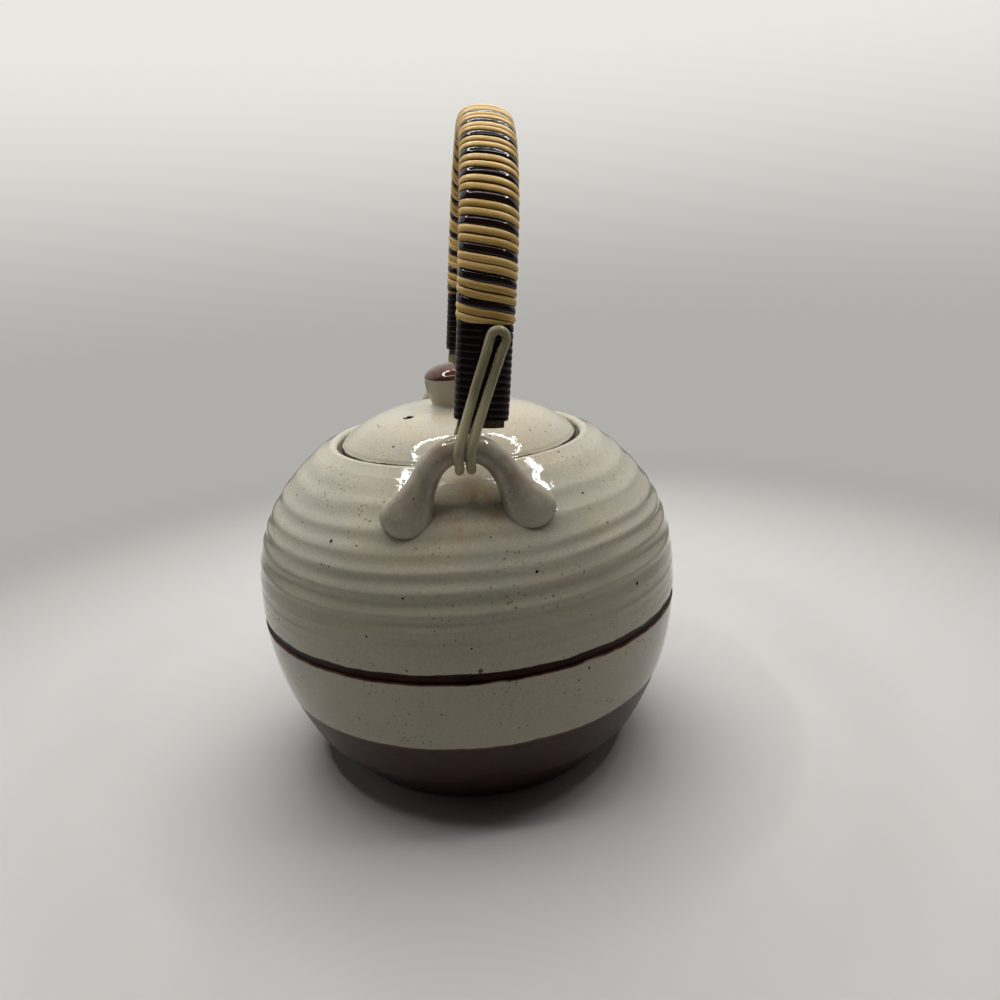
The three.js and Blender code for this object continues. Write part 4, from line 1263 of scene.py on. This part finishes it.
# %% [markdown]
# ## The two end wraps
#
# At both ends the hooks' legs are tucked in between the slats, and one narrow dark strip is
# wound over them tightly, turn against turn, so that nothing can pull out. A dark sleeve
# with grooves would do from far off, but each turn catches the light as a fine step. So the
# same helper winds it, with a pitch only a hair more than the strip's width.

# %% Wind the two ends
END_WIDTH = 1.95
END_THICKNESS = 0.45
END_FLATNESS = 0.4
END_PITCH = 1.98
END_SWAY = 0.15
END_SEED = 5.0
# A little of the core shows below the wraps.
BARE_END = 2.0
END_WRAPS = [
    ("back_end_wrap", BARE_END, PATTERN_FROM),
    ("front_end_wrap", PATTERN_TO, ARCH_LENGTH - BARE_END),
]
for node, low, high in END_WRAPS:
    strip = wind(
        node + "_wound", low, END_PITCH, low, high,
        END_WIDTH, END_THICKNESS, END_FLATNESS, END_SWAY, END_SEED,
    )
    dress(strip, "handle", wrap_cane, "dark_cane", node)

# %% [markdown]
# ## Hooks
#
# Each hook is one length of round cane bent double. Its two legs come down from between
# the slats, pass under the lug and rise outside to a tight bend at the top. A bevelled
# curve would keep one thickness all along. Here a smooth route goes through a few known
# places, and the rings along it are skinned, so that the cane can swell and shrink a
# little. Its skin cracks inside the tight bend, and the cane under it shows brown.

# %% The hooks' sizes
CANE_RADIUS = 1.4
CANE_SPACING = 4.2
CANE_SPACING_AT_LUG = 3.4
HOOK_CLEARANCE = 0.9
HOOK_TOP_HEIGHT = 30.4
HOOK_TUCK = 18.0
HOOK_TOP_OFFSET = 3.2
HOOK_EXIT_OFFSET = 3.5
HOOK_BOW = 1.4
HOOK_SIDES = 20
HOOK_STEP = 0.5
# Share by which the cane's thickness varies, and the length over which it does.
CANE_DRIFT = 0.04
CANE_DRIFT_LENGTH = 9
# How far from the middle of its bend the cane's skin is cracked.
WORN_REACH = 2.8
HOOK_BEND_RADIUS = LUG_ROD_RADIUS + HOOK_CLEARANCE + CANE_RADIUS
# Outside, the cane lies over the winding, with room for a strip and a small gap.
STRIP_ROOM = 1.0
SEAT_GAP = 0.3
OUTER_FACE = WIND_HALF_THICKNESS + STRIP_ROOM + SEAT_GAP + CANE_RADIUS


# %% The hooks' route
def hook_route(outwards, lug_turn):
    """The places that a hook's cane goes through, from one tucked end to the other."""
    leg_bottom = SPRING_HEIGHT - (BACK_LEG if outwards < 0 else FRONT_LEG)
    slant = (HOOK_TOP_OFFSET + HOOK_EXIT_OFFSET) / HOOK_TOP_HEIGHT
    half = CANE_SPACING / 2
    half_at_lug = CANE_SPACING_AT_LUG / 2

    def on_handle(across, out, up):
        return handle_place @ Vector((across, outwards * (ARCH_RADIUS + out), up))

    def leg(side):
        tucked = []
        for share in (1, 0.5, 0):
            up = HOOK_TUCK * share
            across = side * half - HOOK_EXIT_OFFSET + slant * up
            tucked.append(on_handle(across, 0, leg_bottom + up))
        under = []
        for degrees in (-90, -45, 0, 45, 90):
            turn = math.radians(degrees)
            place = Vector((
                side * half_at_lug,
                outwards * (LUG_DISTANCE + HOOK_BEND_RADIUS * math.sin(turn)),
                LUG_CROWN_HEIGHT - HOOK_BEND_RADIUS * math.cos(turn),
            ))
            under.append(Matrix.Rotation(lug_turn, 3, "Z") @ place)
        rising = []
        for share in (0.5, 0.85, 1):
            across = side * lerp(half_at_lug, half, share)
            across += lerp(-HANDLE_SHIFT, HOOK_TOP_OFFSET, share)
            out = OUTER_FACE + HOOK_BOW * 4 * share * (1 - share)
            rising.append(on_handle(across, out, HOOK_TOP_HEIGHT * share))
        return tucked + under + rising

    bend = []
    for degrees in (-45, 0, 45):
        turn = math.radians(degrees)
        across = HOOK_TOP_OFFSET + half * math.sin(turn)
        bend.append(on_handle(across, OUTER_FACE, HOOK_TOP_HEIGHT + half * math.cos(turn)))
    return leg(-1) + bend + leg(1)[::-1]


def smooth_route(places, step):
    """A centripetal Catmull-Rom curve through places, as points about step apart."""
    places = [places[0] * 2 - places[1]] + places + [places[-1] * 2 - places[-2]]
    route = []
    for p0, p1, p2, p3 in zip(places, places[1:], places[2:], places[3:]):
        t1 = (p1 - p0).length ** 0.5
        t2 = t1 + (p2 - p1).length ** 0.5
        t3 = t2 + (p3 - p2).length ** 0.5
        for share in shares(max(2, round((p2 - p1).length / step)))[:-1]:
            t = lerp(t1, t2, share)
            a1 = p0 * ((t1 - t) / t1) + p1 * (t / t1)
            a2 = p1 * ((t2 - t) / (t2 - t1)) + p2 * ((t - t1) / (t2 - t1))
            a3 = p2 * ((t3 - t) / (t3 - t2)) + p3 * ((t - t2) / (t3 - t2))
            b1 = a1 * ((t2 - t) / t2) + a2 * (t / t2)
            b2 = a2 * ((t3 - t) / (t3 - t1)) + a3 * ((t - t1) / (t3 - t1))
            route.append(b1 * ((t2 - t) / (t2 - t1)) + b2 * ((t - t1) / (t2 - t1)))
    return route + [places[-2]]


# %% Bend the hooks
CRACKED_CANE = 0x5B3A20
GREY_CANE = (0x817859, 0xAEA685, CRACKED_CANE)


def bent_cane():
    """Whole round cane, greyed by handling, brown where its skin cracked in the bend."""
    material, tree, shader = cane("grey_round_cane", GREY_CANE, 0.3, 0.5, 0.04)
    worn = add_node(tree, "ShaderNodeAttribute", {"attribute_name": "worn"}).outputs["Fac"]
    crack = fade(tree, cloud(tree, place_in_mm(tree), 0.9, 3.0), 0.44, 0.62)
    plain = shader.inputs["Base Color"].links[0].from_socket
    worn_crack = math_of(tree, "MULTIPLY", worn, crack)
    colour = blend_colours(tree, worn_crack, plain, CRACKED_CANE)
    tree.links.new(colour, shader.inputs["Base Color"])
    return material


def hook(name, outwards, lug_turn):
    """A hook's cane, with how worn it is stored at each point."""
    route = smooth_route(hook_route(outwards, lug_turn), HOOK_STEP)
    top_out = outwards * (ARCH_RADIUS + OUTER_FACE)
    top = handle_place @ Vector((HOOK_TOP_OFFSET, top_out, HOOK_TOP_HEIGHT))
    worn = []
    side = Vector((1, 0, 0))
    rings = []
    grain = []
    length = 0.0
    for i, centre in enumerate(route):
        before = route[max(i - 1, 0)]
        after = route[min(i + 1, len(route) - 1)]
        along = (after - before).normalized()
        side = (side - along * side.dot(along)).normalized()
        length += (centre - before).length
        uneven = CANE_DRIFT * noise.noise(Vector((length / CANE_DRIFT_LENGTH, outwards, 0)))
        radius = CANE_RADIUS * (1 + uneven)
        ring = tube_ring(centre, along, side, radius, radius, HOOK_SIDES)
        rings.append(ring)
        worn.extend(max(0, 1 - ((p - top).length / WORN_REACH) ** 2) for p in ring)
        for share in shares(HOOK_SIDES)[:-1]:
            grain.append((length, CANE_RADIUS * FULL_TURN * share, 1))
    cane_hook = skin(name, rings)
    store_grain(cane_hook, grain)
    attribute = cane_hook.data.attributes.new("worn", "FLOAT", "POINT")
    for value, amount in zip(attribute.data, worn):
        value.value = amount
    print(name, "cane length", round(length), "mm")
    return cane_hook


hook_cane = bent_cane()
for node, outwards, lug_turn in (("back_hook", -1, 0), ("front_hook", 1, FRONT_LUG_TURN)):
    dress(hook(node + "_cane", outwards, lug_turn), "handle", hook_cane, "hook_cane", node)

# %% [markdown]
# ## The handle's core
#
# Two bent slats and a filler carry the winding. Only their ends show below the dark wraps,
# as bare split cane, rough and brown with handling. The CAD solids have their true shape
# already, so they keep it and only get this finish.


# %% Split cane of the handle's core
SPLIT_DARK = 0x26170F
SPLIT_LIGHT = 0x5A3F2A
SPLIT_ROUGHNESS = 0.65
# Fibres per millimetre, across both ways and upwards, and how far they stand out.
SPLIT_FIBRES = (2.0, 2.0, 0.15)
SPLIT_RELIEF = 0.2


def core_cane():
    """Bare split cane, brown with handling, with its fibres along the handle's height."""
    material, tree, shader = new_material("split_core_cane")
    where = place_in_mm(tree)
    stretched = add_node(tree, "ShaderNodeMapping", Vector=where, Scale=SPLIT_FIBRES)
    fibres = add_node(
        tree, "ShaderNodeTexNoise", Vector=stretched.outputs[0], Scale=1.0, Detail=4.0
    ).outputs[0]
    colour = blend_colours(tree, fade(tree, fibres, 0.3, 0.7), SPLIT_DARK, SPLIT_LIGHT)
    tree.links.new(colour, shader.inputs["Base Color"])
    shader.inputs["Roughness"].default_value = SPLIT_ROUGHNESS
    raise_surface(tree, shader, fibres, SPLIT_RELIEF)
    return material


split_cane = core_cane()
for node in ("outer_slat", "inner_slat", "filler_slat"):
    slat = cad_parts[node]
    slat.data.materials.clear()
    slat.data.materials.append(split_cane)
    print(node, "keeps its CAD shape")

# %% [markdown]
# ## Floor and backdrop
#
# The photograph was taken in a small white tent: the lid and shoulder are bright, and the
# belly that faces the camera is in shade. A flat floor and a far wall would meet in a line.
# A round cove, with its floor curved up into its wall, has no line and stands for the tent
# from every side. Its floor is plain and pale and keeps the shadow, and its wall glows, to the
# camera and in the glaze, a soft grey that brightens upwards: painted light of the lit tent.

# %% The cove
COVE_RADIUS = 560.0
COVE_CORNER = 260.0
COVE_HEIGHT = 1500.0
COVE_SIDES = 96
# The cove lies a hair below the foot, so that the two never share a plane.
COVE_DROP = 0.05
cove_outline = [(COVE_RADIUS * s, 0) for s in shares(12)[1:]]
cove_outline += arc((COVE_RADIUS, COVE_CORNER), COVE_CORNER, -90, 0, 24)[1:]
cove_outline += [(COVE_RADIUS + COVE_CORNER, COVE_HEIGHT)]
cove_points = [(0, 0, 0)]
for radius, height in cove_outline:
    for share in shares(COVE_SIDES)[:-1]:
        turn = FULL_TURN * share
        cove_points.append((radius * math.cos(turn), radius * math.sin(turn), height))
cove_faces = [(0, 1 + j, 1 + (j + 1) % COVE_SIDES) for j in range(COVE_SIDES)]
for i in range(len(cove_outline) - 1):
    low = 1 + COVE_SIDES * i
    high = low + COVE_SIDES
    for j in range(COVE_SIDES):
        k = (j + 1) % COVE_SIDES
        cove_faces.append((low + j, high + j, high + k, low + k))
cove = new_piece("cove", cove_points, cove_faces)
cove.location.z = -COVE_DROP * MM

# %% The cove's paint
FLOOR_GREY = 0xC9C5C2
WALL_SHADE_GREY = 0x4A4948
WALL_LOW_GLOW = 0xB0AEAA
WALL_HIGH_GLOW = 0xEAE8E3
PAINT_ROUGHNESS = 0.9


def cove_paint():
    """Matt paint, pale on the floor. Past the object's shadow it glows, as painted light, a steady
    grey that brightens upwards, to the camera and to the glaze on the far side, and out there it
    throws little light back, so the side of the pot that faces the camera stays in shade."""
    material, tree, shader = new_material("cove_paint")
    shader.inputs["Roughness"].default_value = PAINT_ROUGHNESS
    where = place_in_mm(tree)
    _, depth, height = add_node(tree, "ShaderNodeSeparateXYZ", Vector=where).outputs
    flat = add_node(
        tree, "ShaderNodeVectorMath", {"operation": "MULTIPLY"}, in0=where, in1=(1.0, 1.0, 0.0)
    ).outputs[0]
    radius = add_node(
        tree, "ShaderNodeVectorMath", {"operation": "LENGTH"}, in0=flat
    ).outputs["Value"]
    far_off = fade(tree, radius, 280.0, 460.0, 0.0, 0.8)
    shaded = math_of(tree, "MAXIMUM", fade(tree, height, 2.0, 60.0), far_off)
    paint = blend_colours(tree, shaded, FLOOR_GREY, WALL_SHADE_GREY)
    tree.links.new(paint, shader.inputs["Base Color"])
    # The glow is painted light: a grey that brightens upwards, as the tent's wall does near its
    # lamps.
    higher = fade(tree, height, 40.0, 400.0)
    grey = blend_colours(tree, higher, WALL_LOW_GLOW, WALL_HIGH_GLOW)
    glow = add_node(tree, "ShaderNodeEmission", Color=grey, Strength=1.0).outputs[0]
    path = add_node(tree, "ShaderNodeLightPath").outputs
    reflected = math_of(tree, "MAXIMUM", path["Is Glossy Ray"], path["Is Transmission Ray"])
    reflected = math_of(tree, "MULTIPLY", reflected, fade(tree, depth, -300.0, 100.0))
    reflected = math_of(tree, "MULTIPLY", reflected, fade(tree, height, 0.5, 40.0))
    past_shadow = fade(tree, radius, 190.0, 420.0)
    to_camera = math_of(tree, "MULTIPLY", path["Is Camera Ray"], past_shadow)
    share = math_of(tree, "MAXIMUM", to_camera, reflected)
    mixed = add_node(tree, "ShaderNodeMixShader", in0=share, in1=shader.outputs[0], in2=glow)
    output = tree.nodes["Material Output"]
    tree.links.new(mixed.outputs[0], output.inputs["Surface"])
    return material


cove.data.materials.append(cove_paint())

# %% [markdown]
# ## Lamps
#
# The glaze's highlights in the photograph lie on a loop, left and right of the lug. Traced
# back over the lid and the shoulder, they come from a horseshoe of light strips in the
# tent's roof, open towards the camera. One large soft lamp would light the pot as well, but
# leave a broad white patch. Narrow strips leave thin, sharp reflections, and together they
# still give a soft, short shadow. The dark cane's long, faint highlights come from one more
# strip at the front. The tent's bright roof, back and sides are weak panels that the glaze
# doesn't reflect, because its cove does that for them.


# %% Lamps
def panel(name, place_mm, aim_mm, size_mm, power, in_reflections):
    """A rectangular lamp at a place, aimed at a point. Power is in watts."""
    lamp = bpy.data.objects.new(name, bpy.data.lights.new(name, "AREA"))
    lamp.data.shape = "RECTANGLE"
    lamp.data.size = size_mm[0] * MM
    lamp.data.size_y = size_mm[1] * MM
    lamp.data.energy = power
    lamp.visible_glossy = in_reflections
    lamp.visible_camera = False
    lamp.location = Vector(place_mm) * MM
    aim = Vector(aim_mm) * MM - lamp.location
    lamp.rotation_mode = "QUATERNION"
    lamp.rotation_quaternion = aim.to_track_quat("-Z", "Y")
    bpy.context.scene.collection.objects.link(lamp)


# Sizes in millimetres, power in watts.
STRIP_COUNT = 9
STRIP_SIZE = (112.0, 12.0)
STRIP_POWER = 0.32
HORSESHOE_MIDDLE = Vector((45.0, -60.0, 600.0))
HORSESHOE_RADIUS = 290.0
HORSESHOE_FROM = math.radians(-8)
HORSESHOE_TO = math.radians(188)
BELLY = (0, 0, 60)
SHOULDER = (0, 0, 90)
for i, share in enumerate(shares(STRIP_COUNT - 1)):
    turn = lerp(HORSESHOE_FROM, HORSESHOE_TO, share)
    place = HORSESHOE_MIDDLE + HORSESHOE_RADIUS * Vector((math.cos(turn), math.sin(turn), 0))
    panel(f"roof_strip_{i}", place, BELLY, STRIP_SIZE, STRIP_POWER, True)
# Each other lamp: its name, place, aim, size, power, and whether the glaze reflects it.
PANELS = [
    ("roof_front", (20, -130, 600), BELLY, (520, 36), 0.57, True),
    ("roof_middle", (0, -30, 600), BELLY, (420, 220), 0.5, False),
    ("roof_back", (0, 300, 480), BELLY, (420, 120), 1.0, False),
    ("left_side", (-460, 60, 260), SHOULDER, (300, 300), 0.12, False),
    ("right_side", (460, 60, 260), SHOULDER, (300, 300), 0.12, False),
]
for lamp_values in PANELS:
    panel(*lamp_values)

# %% Light from all around
# The tent's white cloth lights every side of the pot a little.
TENT_WHITE = 0xF4F2EE
TENT_STRENGTH = 0.11
world = bpy.data.worlds.new("tent_light")
bpy.context.scene.world = world
world.use_nodes = True
sky = world.node_tree.nodes["Background"]
sky.inputs["Color"].default_value = linear(TENT_WHITE)
sky.inputs["Strength"].default_value = TENT_STRENGTH
print("lamps", STRIP_COUNT + len(PANELS))
